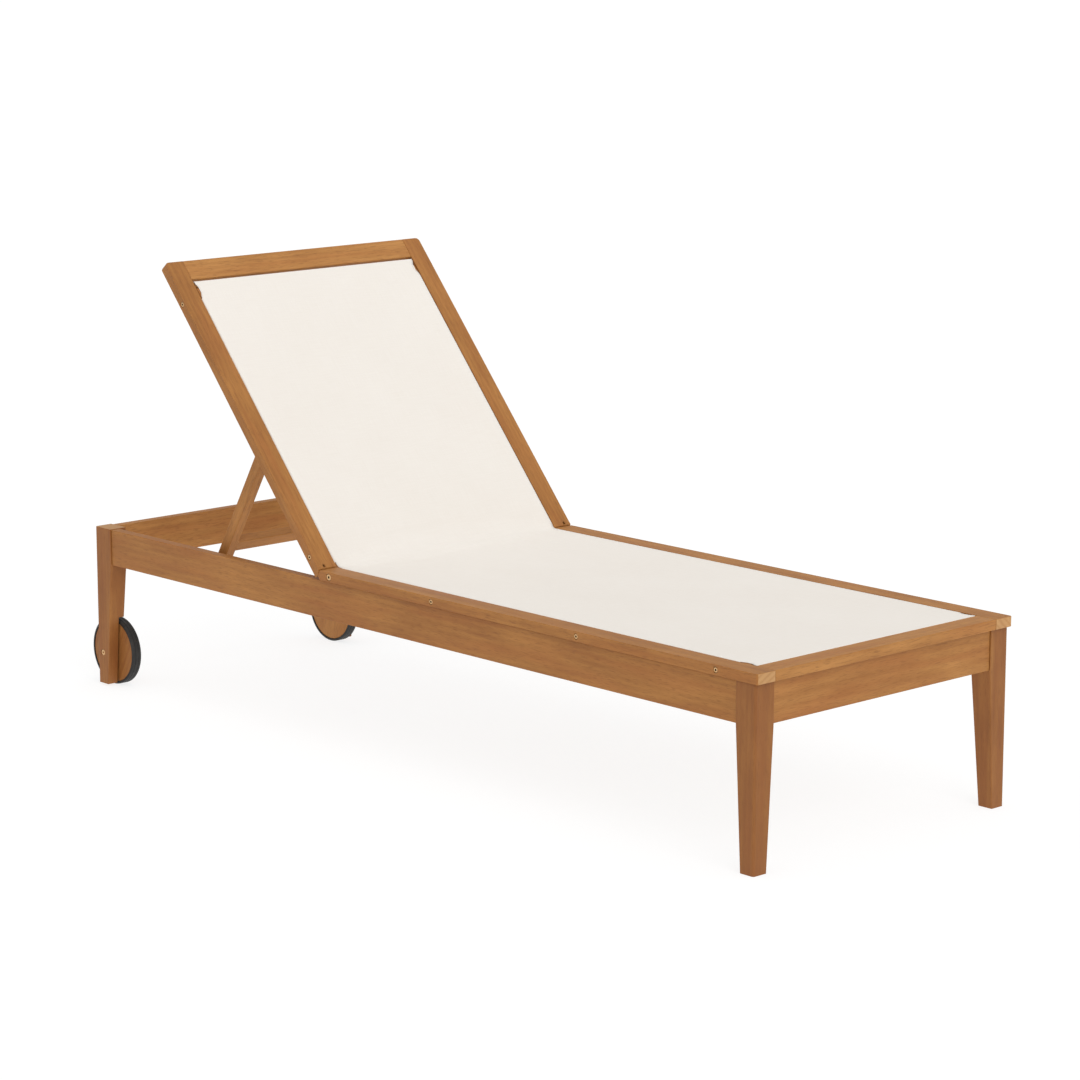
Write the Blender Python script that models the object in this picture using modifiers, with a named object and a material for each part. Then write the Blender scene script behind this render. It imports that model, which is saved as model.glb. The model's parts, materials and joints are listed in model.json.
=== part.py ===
"""Reclining wooden sun lounger with a woven sling, two transport wheels and a rack-and-prop backrest.

Frame: +X towards the foot end, +Y across to the far side, +Z up, metres.
The origin is on the floor, under the middle of the lounger's overall length and width.
"""

import math

import bmesh
import bpy
from mathutils import Euler, Matrix, Vector

# ---------------------------------------------------------------- driving dimensions
WIDTH = 0.700                 # over the seat and back frames
FOOT_X = 1.028                # foot-end face of the seat frame
HEAD_X = -0.9708              # head-end face of the rear legs
GAP = 0.0003                  # between pieces that touch

BOARD = 0.0205                # thickness of the seat and back frame boards
RAIL_WIDTH = 0.0465           # width of their side rails
END_RAIL_WIDTH = 0.0475       # width of the seat foot rail and the back top rail
SEAT_TOP = 0.3755
SEAT_BOTTOM = SEAT_TOP - BOARD
MID_Z = SEAT_TOP - BOARD / 2  # mid-thickness of the seat frame, height of the hinge axis

BASE_TOP = SEAT_BOTTOM - 0.0005
RAIL_BOTTOM = 0.275           # underside of the base rails
LEG_INSET_X = 0.0072          # leg face behind the seat frame's foot face
LEG_Y = WIDTH / 2 - 0.003     # outer face of the legs
FOOT_SIZE = 0.034             # square of each foot at the floor
FRONT_LEG_TOP = 0.0487
REAR_LEG_TOP = (0.0546, 0.0423)   # along X and along Y
REAR_LEG_LIFT = 0.005         # rear feet clear the floor, the wheels carry that end
RAIL_RECESS = 0.003           # base rails behind the leg faces
RAIL_THICK = 0.022
STRETCHER_X = 0.18
STRETCHER_Z = (0.277, 0.317)

HINGE_X = -0.1992
BACK_ANGLE = 49.35            # back above the horizontal at rest, degrees
BACK_LENGTH = 0.770           # hinge axis to the top of the back frame
SEAT_END_TOP = 0.0051         # how far the seat rail's end leans away from the hinge at its top
SEAT_END_FOOT = 0.0070        # rounding of its lower corner
BACK_END_FRONT = 0.0070       # how far the back rail's end leans away at its front

SLOT_Y = 0.3333               # middle of the hinge mortises
SLOT_WIDTH = 0.0054
SLOT_HEIGHT = 0.0132
SLOT_DEPTH = 0.053
PLATE_THICK = 0.0020
PLATE_RADIUS = 0.0060
RIVET_RADIUS = 0.0030
HINGE_BOLT = 0.0337           # bolt from the hinge axis along the seat rail
BACK_SCREWS = (0.0424, 0.6699)    # from the hinge axis along the back rail
SEAT_SCREWS_X = (0.148, 0.5598, 0.9237)

BATTEN = (0.012, 0.010)       # sling batten, across and deep
SLING_THICK = 0.0025
SLING_LIFT = 0.00525          # underside of the sling above mid-thickness
SLING_Y = 0.3030

PROP_AT = 0.3315              # prop pivot up the back from the hinge
PROP_DROP = 0.02125           # and behind the back's mid-plane
PROP_ANGLE = 59.57            # prop below the horizontal at rest, degrees
PROP_LENGTH = 0.33447         # pivot to foot pins
STRUT_WIDTH = 0.0245
STRUT_Y = (0.276, 0.298)
CROSSBAR = (0.0243, 0.0217)   # along the struts and across them
CROSSBAR_AT = 0.2759
PIN_RADIUS = 0.0065
PIN_Y = (0.2735, 0.2995)
PIVOT_RADIUS = 0.004
CLEAT_S = (0.300, 0.363)
CLEAT_Y = (0.3003, 0.3210)
CLEAT_DEPTH = 0.022

RACK_Y = (0.3005, 0.3215)
RACK_Z = (0.285, 0.330)
RACK_X = (-0.895, -0.425)
PIN_Z = 0.3145                # height of the foot pins in every notch
NOTCH_RADIUS = 0.0075
BACK_STEPS = (60.0, 49.35, 38.0, 26.0, 14.0, 0.0)   # back angles that the rack holds

WHEEL_X = -0.9537
WHEEL_RADIUS = 0.0743
WHEEL_Y = (0.2975, 0.3199)
TYRE_DEPTH = 0.0050
LEG_CHEEK_Y = 0.323           # inner face of the rear leg beside the wheel
CHEEK_TOP = 0.1535
AXLE_RADIUS = 0.004
BUSH_RADIUS = 0.0065

SIDES = (("near", -1.0), ("far", 1.0))
ROUND_STEPS = 16
WHEEL_STEPS = 36


# ---------------------------------------------------------------- scene and materials
def empty_scene():
    """Remove every object that the file opened with."""
    for obj in list(bpy.data.objects):
        bpy.data.objects.remove(obj, do_unlink=True)


def new_collection(name):
    """A collection linked to the scene."""
    made = bpy.data.collections.new(name)
    bpy.context.scene.collection.children.link(made)
    return made


def material(name, colour, roughness, metallic=0.0):
    """A plain Principled material; colour is linear RGB."""
    made = bpy.data.materials.new(name)
    made.use_nodes = True
    shader = made.node_tree.nodes["Principled BSDF"]
    shader.inputs["Base Color"].default_value = (*colour, 1.0)
    shader.inputs["Roughness"].default_value = roughness
    shader.inputs["Metallic"].default_value = metallic
    return made


empty_scene()
LOUNGER = new_collection("reclining_sun_lounger")
CUTTERS = new_collection("cutters")
WOOD = material("oiled_hardwood", (0.37, 0.17, 0.06), 0.5)
FABRIC = material("woven_sling", (0.82, 0.79, 0.73), 0.9)
RUBBER = material("black_rubber", (0.015, 0.015, 0.016), 0.7)
BRASS = material("brassed_steel", (0.62, 0.42, 0.24), 0.35, 1.0)
STEEL = material("zinc_plated_steel", (0.55, 0.55, 0.53), 0.4, 1.0)


# ---------------------------------------------------------------- making pieces
def add_object(name, mesh, finish, parent=None, location=(0, 0, 0), rotation=(0, 0, 0)):
    """Put a mesh in the lounger's collection as a named piece."""
    obj = bpy.data.objects.new(name, mesh)
    obj.location = location
    obj.rotation_euler = rotation
    if finish is None:
        CUTTERS.objects.link(obj)
        obj.hide_render = True
        obj.display_type = "WIRE"
    else:
        LOUNGER.objects.link(obj)
        mesh.materials.append(finish)
    obj.parent = parent
    return obj


def box(name, low, high, finish, parent=None, soften=0.0):
    """A board between two corners, with its long edges eased by a one-step bevel."""
    low, high = Vector(low), Vector(high)
    mesh = bpy.data.meshes.new(name)
    shape = bmesh.new()
    bmesh.ops.create_cube(shape, size=1.0)
    size = high - low
    bmesh.ops.scale(shape, vec=size, verts=shape.verts)
    bmesh.ops.translate(shape, vec=(low + high) / 2, verts=shape.verts)
    shape.to_mesh(mesh)
    shape.free()
    obj = add_object(name, mesh, finish, parent)
    if soften:
        bevel = obj.modifiers.new("eased_edges", "BEVEL")
        bevel.width = soften
        bevel.segments = 1
    return obj


def outline(name, points, y_low, y_high, finish, parent=None):
    """A flat outline in the XZ plane, as thick as y_low to y_high, cut from one board."""
    curve = bpy.data.curves.new(name, "CURVE")
    curve.dimensions = "2D"
    curve.fill_mode = "BOTH"
    curve.extrude = (y_high - y_low) / 2
    spline = curve.splines.new("POLY")
    spline.points.add(len(points) - 1)
    for point, (x, z) in zip(spline.points, points):
        point.co = (x, z, 0.0, 1.0)
    spline.use_cyclic_u = True
    drawn = bpy.data.objects.new(name + "_curve", curve)
    LOUNGER.objects.link(drawn)
    depsgraph = bpy.context.evaluated_depsgraph_get()
    mesh = bpy.data.meshes.new_from_object(drawn.evaluated_get(depsgraph))
    bpy.data.objects.remove(drawn, do_unlink=True)
    mesh.materials.clear()
    # the curve lies in its own XY plane: stand it up so that its y becomes the world's z
    mesh.transform(Matrix.Translation((0, (y_low + y_high) / 2, 0)) @ Matrix.Rotation(math.pi / 2, 4, "X"))
    shape = bmesh.new()
    shape.from_mesh(mesh)
    bmesh.ops.remove_doubles(shape, verts=shape.verts, dist=0.00002)
    bmesh.ops.recalc_face_normals(shape, faces=shape.faces)
    shape.to_mesh(mesh)
    shape.free()
    return add_object(name, mesh, finish, parent)


def turned(name, profile, centre, finish, parent=None, side=1.0, steps=ROUND_STEPS, ring=False):
    """A turned piece on an axis along Y.

    profile holds (radius, distance) pairs, where distance runs outwards along Y from the
    lounger's centre line; side is -1 for the near side and +1 for the far side.
    """
    mesh = bpy.data.meshes.new(name)
    shape = bmesh.new()
    verts = [shape.verts.new((radius, 0.0, along)) for radius, along in profile]
    for first, second in zip(verts, verts[1:]):
        shape.edges.new((first, second))
    if ring:
        shape.edges.new((verts[-1], verts[0]))
    shape.to_mesh(mesh)
    shape.free()
    # local +Z points outwards: -Y on the near side, +Y on the far side
    turn = (math.pi / 2 if side < 0 else -math.pi / 2, 0.0, 0.0)
    obj = add_object(name, mesh, finish, parent, location=(centre[0], 0.0, centre[1]), rotation=turn)
    screw = obj.modifiers.new("turned", "SCREW")
    screw.axis = "Z"
    screw.angle = 2 * math.pi
    screw.steps = steps
    screw.render_steps = steps
    screw.use_merge_vertices = True
    screw.merge_threshold = 0.00001
    screw.use_smooth_shade = True
    return obj


def cut(piece, cutter):
    """Take a cutter out of a piece."""
    boolean = piece.modifiers.new("cut_" + cutter.name, "BOOLEAN")
    boolean.operation = "DIFFERENCE"
    boolean.solver = "EXACT"
    boolean.object = cutter


def pin_profile(radius, low, high):
    """A plain round pin, listed from its outer end inwards."""
    return [(0.0, high), (radius, high), (radius, low), (0.0, low)]


def screw_profile(head, shank, outer, length, grow=0.0):
    """A countersunk screw whose head is just under the face at outer."""
    top = outer - 0.0006 + (0.0016 if grow else 0.0)
    return [(0.0, top), (head + grow, top), (head + grow, outer - 0.0012 - grow),
            (shank + grow, outer - 0.0042 - grow), (shank + grow, outer - length - grow),
            (0.0, outer - length - grow)]


def countersunk(name, body_parts, centre, side, outer, length, head=0.0048, shank=0.0021,
                finish=BRASS, parent=None):
    """A countersunk fastener and its hole in each of body_parts."""
    turned(name, screw_profile(head, shank, outer, length), centre, finish, parent, side)
    hole = turned(name + "_hole", screw_profile(head, shank, outer, length, grow=GAP), centre, None, parent, side)
    for part in body_parts:
        cut(part, hole)


def arc(centre, radius, start, stop, steps):
    """Points on an arc in the XZ plane, angles in degrees."""
    points = []
    for step in range(steps + 1):
        angle = math.radians(start + (stop - start) * step / steps)
        points.append((centre[0] + radius * math.cos(angle), centre[1] + radius * math.sin(angle)))
    return points


def stadium(start_x, end_x, radius, steps=8):
    """A bar with two round ends, its end centres at start_x and end_x."""
    return arc((end_x, 0.0), radius, -90, 90, steps) + arc((start_x, 0.0), radius, 90, 270, steps)


# ---------------------------------------------------------------- base
def leg(name, side, outer_x, inward, top, bottom, cheek=False):
    """A leg whose two inner faces taper below the rails; inward is the X direction of its inner face."""
    top_x, top_y = top
    mesh = bpy.data.meshes.new(name)
    shape = bmesh.new()
    bmesh.ops.create_cube(shape, size=1.0)
    for vert in shape.verts:
        vert.co.x = outer_x + inward * top_x * (0.5 + vert.co.x * inward)
        vert.co.y = side * (LEG_Y - top_y * (0.5 - vert.co.y * side))
        vert.co.z = BASE_TOP if vert.co.z > 0 else 0.0
    geometry = list(shape.verts) + list(shape.edges) + list(shape.faces)
    bmesh.ops.bisect_plane(shape, geom=geometry, plane_co=(0, 0, RAIL_BOTTOM), plane_no=(0, 0, 1))
    for vert in shape.verts:
        if vert.co.z < RAIL_BOTTOM / 2:
            if abs(vert.co.x - outer_x) > top_x / 2:
                vert.co.x = outer_x + inward * FOOT_SIZE
            if abs(vert.co.y) < LEG_Y - top_y / 2:
                vert.co.y = side * (LEG_Y - FOOT_SIZE)
    geometry = list(shape.verts) + list(shape.edges) + list(shape.faces)
    if bottom > 0:
        cut_line = bmesh.ops.bisect_plane(shape, geom=geometry, plane_co=(0, 0, bottom), plane_no=(0, 0, 1),
                                          clear_inner=True)["geom_cut"]
        edges = [item for item in cut_line if isinstance(item, bmesh.types.BMEdge)]
        bmesh.ops.contextual_create(shape, geom=edges)
    bmesh.ops.recalc_face_normals(shape, faces=shape.faces)
    shape.to_mesh(mesh)
    shape.free()
    obj = add_object(name, mesh, WOOD)
    if cheek:
        low, high = sorted((side * LEG_CHEEK_Y, side * 0.25))
        rebate = box(name + "_rebate", (outer_x - 0.05, low, -0.05), (outer_x + 0.10, high, CHEEK_TOP), None)
        cut(obj, rebate)
    bevel = obj.modifiers.new("eased_edges", "BEVEL")
    bevel.width = 0.0025
    bevel.segments = 1
    bevel.limit_method = "ANGLE"
    return obj


def notch_x(back_angle):
    """Where the foot pins lie along X when the back stands at back_angle degrees."""
    angle = math.radians(back_angle)
    pivot_x = HINGE_X - PROP_AT * math.cos(angle) - PROP_DROP * math.sin(angle)
    pivot_z = MID_Z + PROP_AT * math.sin(angle) - PROP_DROP * math.cos(angle)
    return pivot_x - math.sqrt(PROP_LENGTH ** 2 - (pivot_z - PIN_Z) ** 2)


def rack_outline():
    """The rack's side view: a straight batten with a round-bottomed notch for each back position."""
    low_x, high_x = RACK_X
    points = [(low_x, RACK_Z[0]), (high_x, RACK_Z[0]), (high_x, RACK_Z[1])]
    for angle in BACK_STEPS:
        centre = notch_x(angle)
        points.append((centre + NOTCH_RADIUS, RACK_Z[1]))
        points += [(x, z) for x, z in arc((centre, PIN_Z), NOTCH_RADIUS, 0, -180, 6)]
        points.append((centre - NOTCH_RADIUS, RACK_Z[1]))
    points.append((low_x, RACK_Z[1]))
    return points


def build_base():
    """Legs, rails, stretcher and racks: everything that stands still below the seat frame."""
    front_x = FOOT_X - LEG_INSET_X
    rail_y = (LEG_Y - RAIL_RECESS - RAIL_THICK, LEG_Y - RAIL_RECESS)
    for label, side in SIDES:
        leg(f"front_leg_{label}", side, front_x, -1.0, (FRONT_LEG_TOP, FRONT_LEG_TOP), 0.0)
        rear = leg(f"rear_leg_{label}", side, HEAD_X, 1.0, REAR_LEG_TOP, REAR_LEG_LIFT, cheek=True)
        low, high = sorted((side * rail_y[0], side * rail_y[1]))
        box(f"base_side_rail_{label}", (HEAD_X + REAR_LEG_TOP[0] + GAP, low, RAIL_BOTTOM),
            (front_x - FRONT_LEG_TOP - GAP, high, BASE_TOP), WOOD, soften=0.002)
        low, high = sorted((side * RACK_Y[0], side * RACK_Y[1]))
        outline(f"prop_rack_{label}", rack_outline(), low, high, WOOD)
        axle(label, side, rear)
    reach = LEG_Y - FRONT_LEG_TOP - GAP
    box("base_foot_rail", (front_x - RAIL_RECESS - RAIL_THICK, -reach, RAIL_BOTTOM),
        (front_x - RAIL_RECESS, reach, BASE_TOP), WOOD, soften=0.002)
    reach = LEG_Y - REAR_LEG_TOP[1] - GAP
    box("base_head_rail", (HEAD_X + RAIL_RECESS, -reach, RAIL_BOTTOM),
        (HEAD_X + RAIL_RECESS + RAIL_THICK, reach, BASE_TOP), WOOD, soften=0.002)
    reach = rail_y[0] - GAP
    box("base_stretcher", (STRETCHER_X - RAIL_THICK / 2, -reach, STRETCHER_Z[0]),
        (STRETCHER_X + RAIL_THICK / 2, reach, STRETCHER_Z[1]), WOOD, soften=0.002)


# ---------------------------------------------------------------- wheels
def axle(label, side, rear_leg):
    """The bolt that a wheel turns on, through the rear leg's cheek, with its nut inside."""
    centre = (WHEEL_X, WHEEL_RADIUS)
    inner = WHEEL_Y[0] - 0.009
    outer = LEG_Y
    bolt = [(0.0, outer - 0.0006), (0.0065, outer - 0.0006), (0.0065, outer - 0.0030),
            (AXLE_RADIUS, outer - 0.0055), (AXLE_RADIUS, inner), (0.0, inner)]
    turned(f"axle_bolt_{label}", bolt, centre, BRASS, side=side)
    hole = [(0.0, outer + 0.001), (0.0065 + GAP, outer + 0.001), (0.0065 + GAP, outer - 0.0030 - GAP),
            (AXLE_RADIUS + GAP, outer - 0.0055 - GAP), (AXLE_RADIUS + GAP, inner), (0.0, inner)]
    cut(rear_leg, turned(f"axle_hole_{label}", hole, centre, None, side=side))
    nut_low, nut_high = inner + 0.001, WHEEL_Y[0] - 0.0012
    bore = (AXLE_RADIUS + GAP) / math.cos(math.pi / 6)
    nut = [(bore, nut_high), (0.0078, nut_high), (0.0078, nut_low), (bore, nut_low)]
    turned(f"axle_nut_{label}", nut, centre, STEEL, side=side, steps=6, ring=True)


def build_wheels():
    """A turned wooden disc, its rubber tyre and its bush, on each rear leg."""
    centre = (WHEEL_X, WHEEL_RADIUS)
    low, high = WHEEL_Y
    rim = WHEEL_RADIUS - TYRE_DEPTH
    for label, side in SIDES:
        bore = BUSH_RADIUS + GAP
        disc = [(bore, high - 0.0008), (rim - GAP - 0.002, high - 0.0008), (rim - GAP, high - 0.0028),
                (rim - GAP, low + 0.0028), (rim - GAP - 0.002, low + 0.0008), (bore, low + 0.0008)]
        turned(f"wheel_disc_{label}", disc, centre, WOOD, side=side, steps=WHEEL_STEPS, ring=True)
        edge = 0.0015
        tyre = [(rim, high), (WHEEL_RADIUS - edge, high), (WHEEL_RADIUS, high - edge),
                (WHEEL_RADIUS, low + edge), (WHEEL_RADIUS - edge, low), (rim, low)]
        turned(f"tyre_{label}", tyre, centre, RUBBER, side=side, steps=WHEEL_STEPS, ring=True)
        inner = AXLE_RADIUS + 0.0002
        bush = [(inner, high + 0.002), (BUSH_RADIUS, high + 0.002), (BUSH_RADIUS, low - 0.0008),
                (inner, low - 0.0008)]
        turned(f"wheel_bush_{label}", bush, centre, STEEL, side=side, ring=True)


# ---------------------------------------------------------------- seat frame
def seat_rail_outline():
    """Side view of a seat rail: square at the foot, leaning and rounded at the hinge."""
    half = BOARD / 2
    points = [(FOOT_X, MID_Z - half), (FOOT_X, MID_Z + half), (HINGE_X + GAP + SEAT_END_TOP, MID_Z + half),
              (HINGE_X + GAP, MID_Z)]
    for step in range(1, 6):
        angle = math.radians(90 * step / 5)
        points.append((HINGE_X + GAP + SEAT_END_FOOT * (1 - math.cos(angle)), MID_Z - half * math.sin(angle)))
    return points


def mortise(name, centre_x, reach, side, parent=None, centre_z=0.0):
    """The cutter of a hinge mortise that opens at the rail's end."""
    low, high = sorted((side * (SLOT_Y - SLOT_WIDTH / 2), side * (SLOT_Y + SLOT_WIDTH / 2)))
    ends = sorted((centre_x - math.copysign(0.012, reach), centre_x + reach))
    return box(name, (ends[0], low, centre_z - SLOT_HEIGHT / 2), (ends[1], high, centre_z + SLOT_HEIGHT / 2),
               None, parent)


def hinge_plate(name, origin, reach, fixing, hole_radius, side, outward, parent=None, centre_z=0.0):
    """A flat plate with a round eye on the hinge axis and a fixing hole further along."""
    low = SLOT_Y + (0.0002 if outward else -0.0002 - PLATE_THICK)
    ends = sorted((0.0, reach))
    points = [(origin + x, centre_z + z) for x, z in stadium(ends[0], ends[1], PLATE_RADIUS)]
    bounds = sorted((side * low, side * (low + PLATE_THICK)))
    plate = outline(name, points, bounds[0], bounds[1], STEEL, parent)
    for label, x, radius in (("eye", origin, RIVET_RADIUS + 0.0002), ("fixing", origin + fixing, hole_radius)):
        hole = turned(f"{name}_{label}", pin_profile(radius, low - 0.002, low + PLATE_THICK + 0.002),
                      (x, centre_z), None, parent, side)
        cut(plate, hole)
    return plate


def build_seat():
    """Side rails, foot rail, sling, its battens, the screws that hold them and the fixed hinge plates."""
    outer = WIDTH / 2
    inner = outer - RAIL_WIDTH
    for label, side in SIDES:
        low, high = sorted((side * inner, side * outer))
        rail = outline(f"seat_side_rail_{label}", seat_rail_outline(), low, high, WOOD)
        cut(rail, mortise(f"seat_mortise_{label}", HINGE_X, SLOT_DEPTH, side, centre_z=MID_Z))
        for number, x in enumerate(SEAT_SCREWS_X, 1):
            countersunk(f"seat_screw_{label}_{number}", [rail], (x, MID_Z), side, outer, 0.030)
        countersunk(f"hinge_bolt_{label}", [rail], (HINGE_X + HINGE_BOLT, MID_Z), side, outer, 0.034,
                    head=0.0065, shank=0.0035)
        hinge_plate(f"hinge_plate_seat_{label}", HINGE_X, HINGE_BOLT + 0.006, HINGE_BOLT, 0.0040, side,
                    outward=True, centre_z=MID_Z)
        low, high = sorted((side * (inner - GAP - BATTEN[0]), side * (inner - GAP)))
        box(f"seat_batten_{label}", (HINGE_X + 0.012, low, MID_Z - BATTEN[1] / 2),
            (FOOT_X - END_RAIL_WIDTH - 0.020, high, MID_Z + BATTEN[1] / 2), WOOD)
    reach = inner - GAP
    box("seat_foot_rail", (FOOT_X - END_RAIL_WIDTH, -reach, SEAT_BOTTOM), (FOOT_X, reach, SEAT_TOP), WOOD,
        soften=0.002)
    box("seat_sling", (HINGE_X + 0.006, -SLING_Y, MID_Z + SLING_LIFT),
        (FOOT_X - END_RAIL_WIDTH - 0.001, SLING_Y, MID_Z + SLING_LIFT + SLING_THICK), FABRIC)


# ---------------------------------------------------------------- backrest
def back_rail_outline():
    """Side view of a back rail lying flat: its length runs towards -X from the hinge axis."""
    half = BOARD / 2
    return [(-BACK_LENGTH, half), (-BACK_LENGTH, -half), (-GAP, -half), (-GAP, 0.0),
            (-GAP - BACK_END_FRONT, half)]


def build_back(hinge):
    """The backrest, modelled flat about the hinge axis and raised by its parent."""
    outer = WIDTH / 2
    inner = outer - RAIL_WIDTH
    half = BOARD / 2
    for label, side in SIDES:
        low, high = sorted((side * inner, side * outer))
        rail = outline(f"back_side_rail_{label}", back_rail_outline(), low, high, WOOD, hinge)
        cut(rail, mortise(f"back_mortise_{label}", 0.0, -SLOT_DEPTH, side, hinge))
        for number, along in enumerate(BACK_SCREWS, 1):
            countersunk(f"back_screw_{label}_{number}", [rail], (-along, 0.0), side, outer, 0.030, parent=hinge)
        hinge_plate(f"hinge_plate_back_{label}", 0.0, -BACK_SCREWS[0] - 0.004, -BACK_SCREWS[0], 0.0026, side,
                    outward=False, parent=hinge)
        turned(f"hinge_rivet_{label}", pin_profile(RIVET_RADIUS, SLOT_Y - 0.0024, SLOT_Y + 0.0024), (0.0, 0.0),
               STEEL, hinge, side)
        low, high = sorted((side * (inner - GAP - BATTEN[0]), side * (inner - GAP)))
        box(f"back_batten_{label}", (-BACK_LENGTH + END_RAIL_WIDTH + 0.020, low, -BATTEN[1] / 2),
            (-0.014, high, BATTEN[1] / 2), WOOD, hinge)
        low, high = sorted((side * CLEAT_Y[0], side * CLEAT_Y[1]))
        cleat = box(f"prop_cleat_{label}", (-CLEAT_S[1], low, -half - GAP - CLEAT_DEPTH),
                    (-CLEAT_S[0], high, -half - GAP), WOOD, hinge, soften=0.0015)
        bolt = [(0.0, CLEAT_Y[1] - 0.003), (PIVOT_RADIUS, CLEAT_Y[1] - 0.003),
                (PIVOT_RADIUS, STRUT_Y[0] - 0.0008), (0.0075, STRUT_Y[0] - 0.0008),
                (0.0075, STRUT_Y[0] - 0.0038), (0.0, STRUT_Y[0] - 0.0038)]
        pivot = (-PROP_AT, -PROP_DROP)
        turned(f"prop_bolt_{label}", bolt, pivot, BRASS, hinge, side)
        socket = pin_profile(PIVOT_RADIUS + GAP, CLEAT_Y[0] - 0.002, CLEAT_Y[1] - 0.003 + GAP)
        cut(cleat, turned(f"prop_socket_{label}", socket, pivot, None, hinge, side))
    reach = inner - GAP
    box("back_top_rail", (-BACK_LENGTH, -reach, -half), (-BACK_LENGTH + END_RAIL_WIDTH, reach, half), WOOD,
        hinge, soften=0.002)
    box("back_sling", (-BACK_LENGTH + END_RAIL_WIDTH + 0.003, -SLING_Y, SLING_LIFT),
        (-0.0085, SLING_Y, SLING_LIFT + SLING_THICK), FABRIC, hinge)


# ---------------------------------------------------------------- prop
def build_prop(pivot):
    """The H-shaped prop, modelled along -X from its pivot, with the two pins that the racks hold."""
    for label, side in SIDES:
        low, high = sorted((side * STRUT_Y[0], side * STRUT_Y[1]))
        strut = outline(f"prop_strut_{label}", stadium(-PROP_LENGTH, 0.0, STRUT_WIDTH / 2), low, high, WOOD,
                        pivot)
        for hole, x, radius in (("pivot", 0.0, PIVOT_RADIUS), ("foot", -PROP_LENGTH, PIN_RADIUS)):
            profile = pin_profile(radius + GAP, STRUT_Y[0] - 0.004, STRUT_Y[1] + 0.004)
            cut(strut, turned(f"prop_{hole}_hole_{label}", profile, (x, 0.0), None, pivot, side))
        turned(f"prop_foot_pin_{label}", pin_profile(PIN_RADIUS, *PIN_Y), (-PROP_LENGTH, 0.0), STEEL, pivot, side)
    reach = STRUT_Y[0] - GAP
    along, across = CROSSBAR
    box("prop_crossbar", (-CROSSBAR_AT - along / 2, -reach, -across / 2),
        (-CROSSBAR_AT + along / 2, reach, across / 2), WOOD, pivot, soften=0.002)


def build_lounger():
    """Build the pieces in the order that they would be put together."""
    build_base()
    build_wheels()
    build_seat()
    hinge = bpy.data.objects.new("back_hinge", None)
    hinge.location = (HINGE_X, 0.0, MID_Z)
    hinge.rotation_euler = Euler((0.0, math.radians(BACK_ANGLE), 0.0))
    LOUNGER.objects.link(hinge)
    build_back(hinge)
    pivot = bpy.data.objects.new("prop_pivot", None)
    pivot.parent = hinge
    pivot.location = (-PROP_AT, 0.0, -PROP_DROP)
    pivot.rotation_euler = Euler((0.0, math.radians(-PROP_ANGLE - BACK_ANGLE), 0.0))
    LOUNGER.objects.link(pivot)
    build_prop(pivot)


build_lounger()
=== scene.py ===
"""Looks of the reclining sun lounger: oiled boards, one woven sling, prop, wheels and hardware.

Sizes are in metres in the frame's own axes: +X to the foot end, +Y to the far side, +Z up.
The backrest is built lying flat about its hinge and the prop along its pivot, then both are
turned to the angle at which the lounger is stored, so that each board's grain follows its length.
"""

import json
import logging
import math
from dataclasses import dataclass, field
from enum import Enum
from typing import Iterable, Sequence

import bmesh
import bpy
from mathutils import Euler, Matrix, Vector, noise


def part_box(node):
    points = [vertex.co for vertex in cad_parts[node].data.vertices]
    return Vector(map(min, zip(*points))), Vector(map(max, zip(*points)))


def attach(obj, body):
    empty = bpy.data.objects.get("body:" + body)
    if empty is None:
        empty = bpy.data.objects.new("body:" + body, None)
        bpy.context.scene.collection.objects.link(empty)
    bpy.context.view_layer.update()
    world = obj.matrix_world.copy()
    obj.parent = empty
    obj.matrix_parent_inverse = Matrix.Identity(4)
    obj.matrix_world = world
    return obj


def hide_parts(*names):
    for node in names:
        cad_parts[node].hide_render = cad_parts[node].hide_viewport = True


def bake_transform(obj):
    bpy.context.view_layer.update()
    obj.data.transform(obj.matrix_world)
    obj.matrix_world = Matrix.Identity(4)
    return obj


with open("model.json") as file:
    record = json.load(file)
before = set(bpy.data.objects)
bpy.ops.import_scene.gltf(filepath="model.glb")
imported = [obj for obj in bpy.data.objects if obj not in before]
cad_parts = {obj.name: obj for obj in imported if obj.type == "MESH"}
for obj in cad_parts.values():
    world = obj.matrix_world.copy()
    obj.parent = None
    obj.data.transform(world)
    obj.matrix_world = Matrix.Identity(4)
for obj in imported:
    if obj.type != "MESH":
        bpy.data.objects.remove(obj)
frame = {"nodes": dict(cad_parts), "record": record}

LOG = logging.getLogger("sun_lounger")
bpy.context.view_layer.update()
MM = 0.001
SIDES = (("near", -1.0), ("far", 1.0))
SCREW_STEPS = 48            # divisions round a screw or bolt
HOLE_STEPS = 32             # and round a hole or pin
SCREW_SHARP = 35            # degrees; edges of turned metal that stay sharp
DISC_SHARP = 38             # degrees; the same for the wheels

JOINTS = {joint["name"]: joint for joint in frame["record"]["behaviour"]["joints"]}
HINGE = Vector(JOINTS["back_recline"]["pos_m"])
PIVOT = Vector(JOINTS["prop_fold"]["pos_m"])
BACK_ANGLE = -math.radians(JOINTS["back_recline"]["range_deg"][0])


# ---------------------------------------------------------------- small tools
class Grain(Enum):
    """Which of a board's own axes its grain follows, as the turn that brings it to X."""

    ALONG_X = (0.0, 0.0, 0.0)
    ALONG_Y = (0.0, 0.0, -math.pi / 2)
    ALONG_Z = (0.0, math.pi / 2, 0.0)
    # The near disc's grain also picks the dimmer copy of the wood, as painted shade.
    ACROSS_NEAR_DISC = (0.0, math.radians(62), 0.0)
    ACROSS_FAR_DISC = (0.0, math.radians(75), 0.0)


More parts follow.
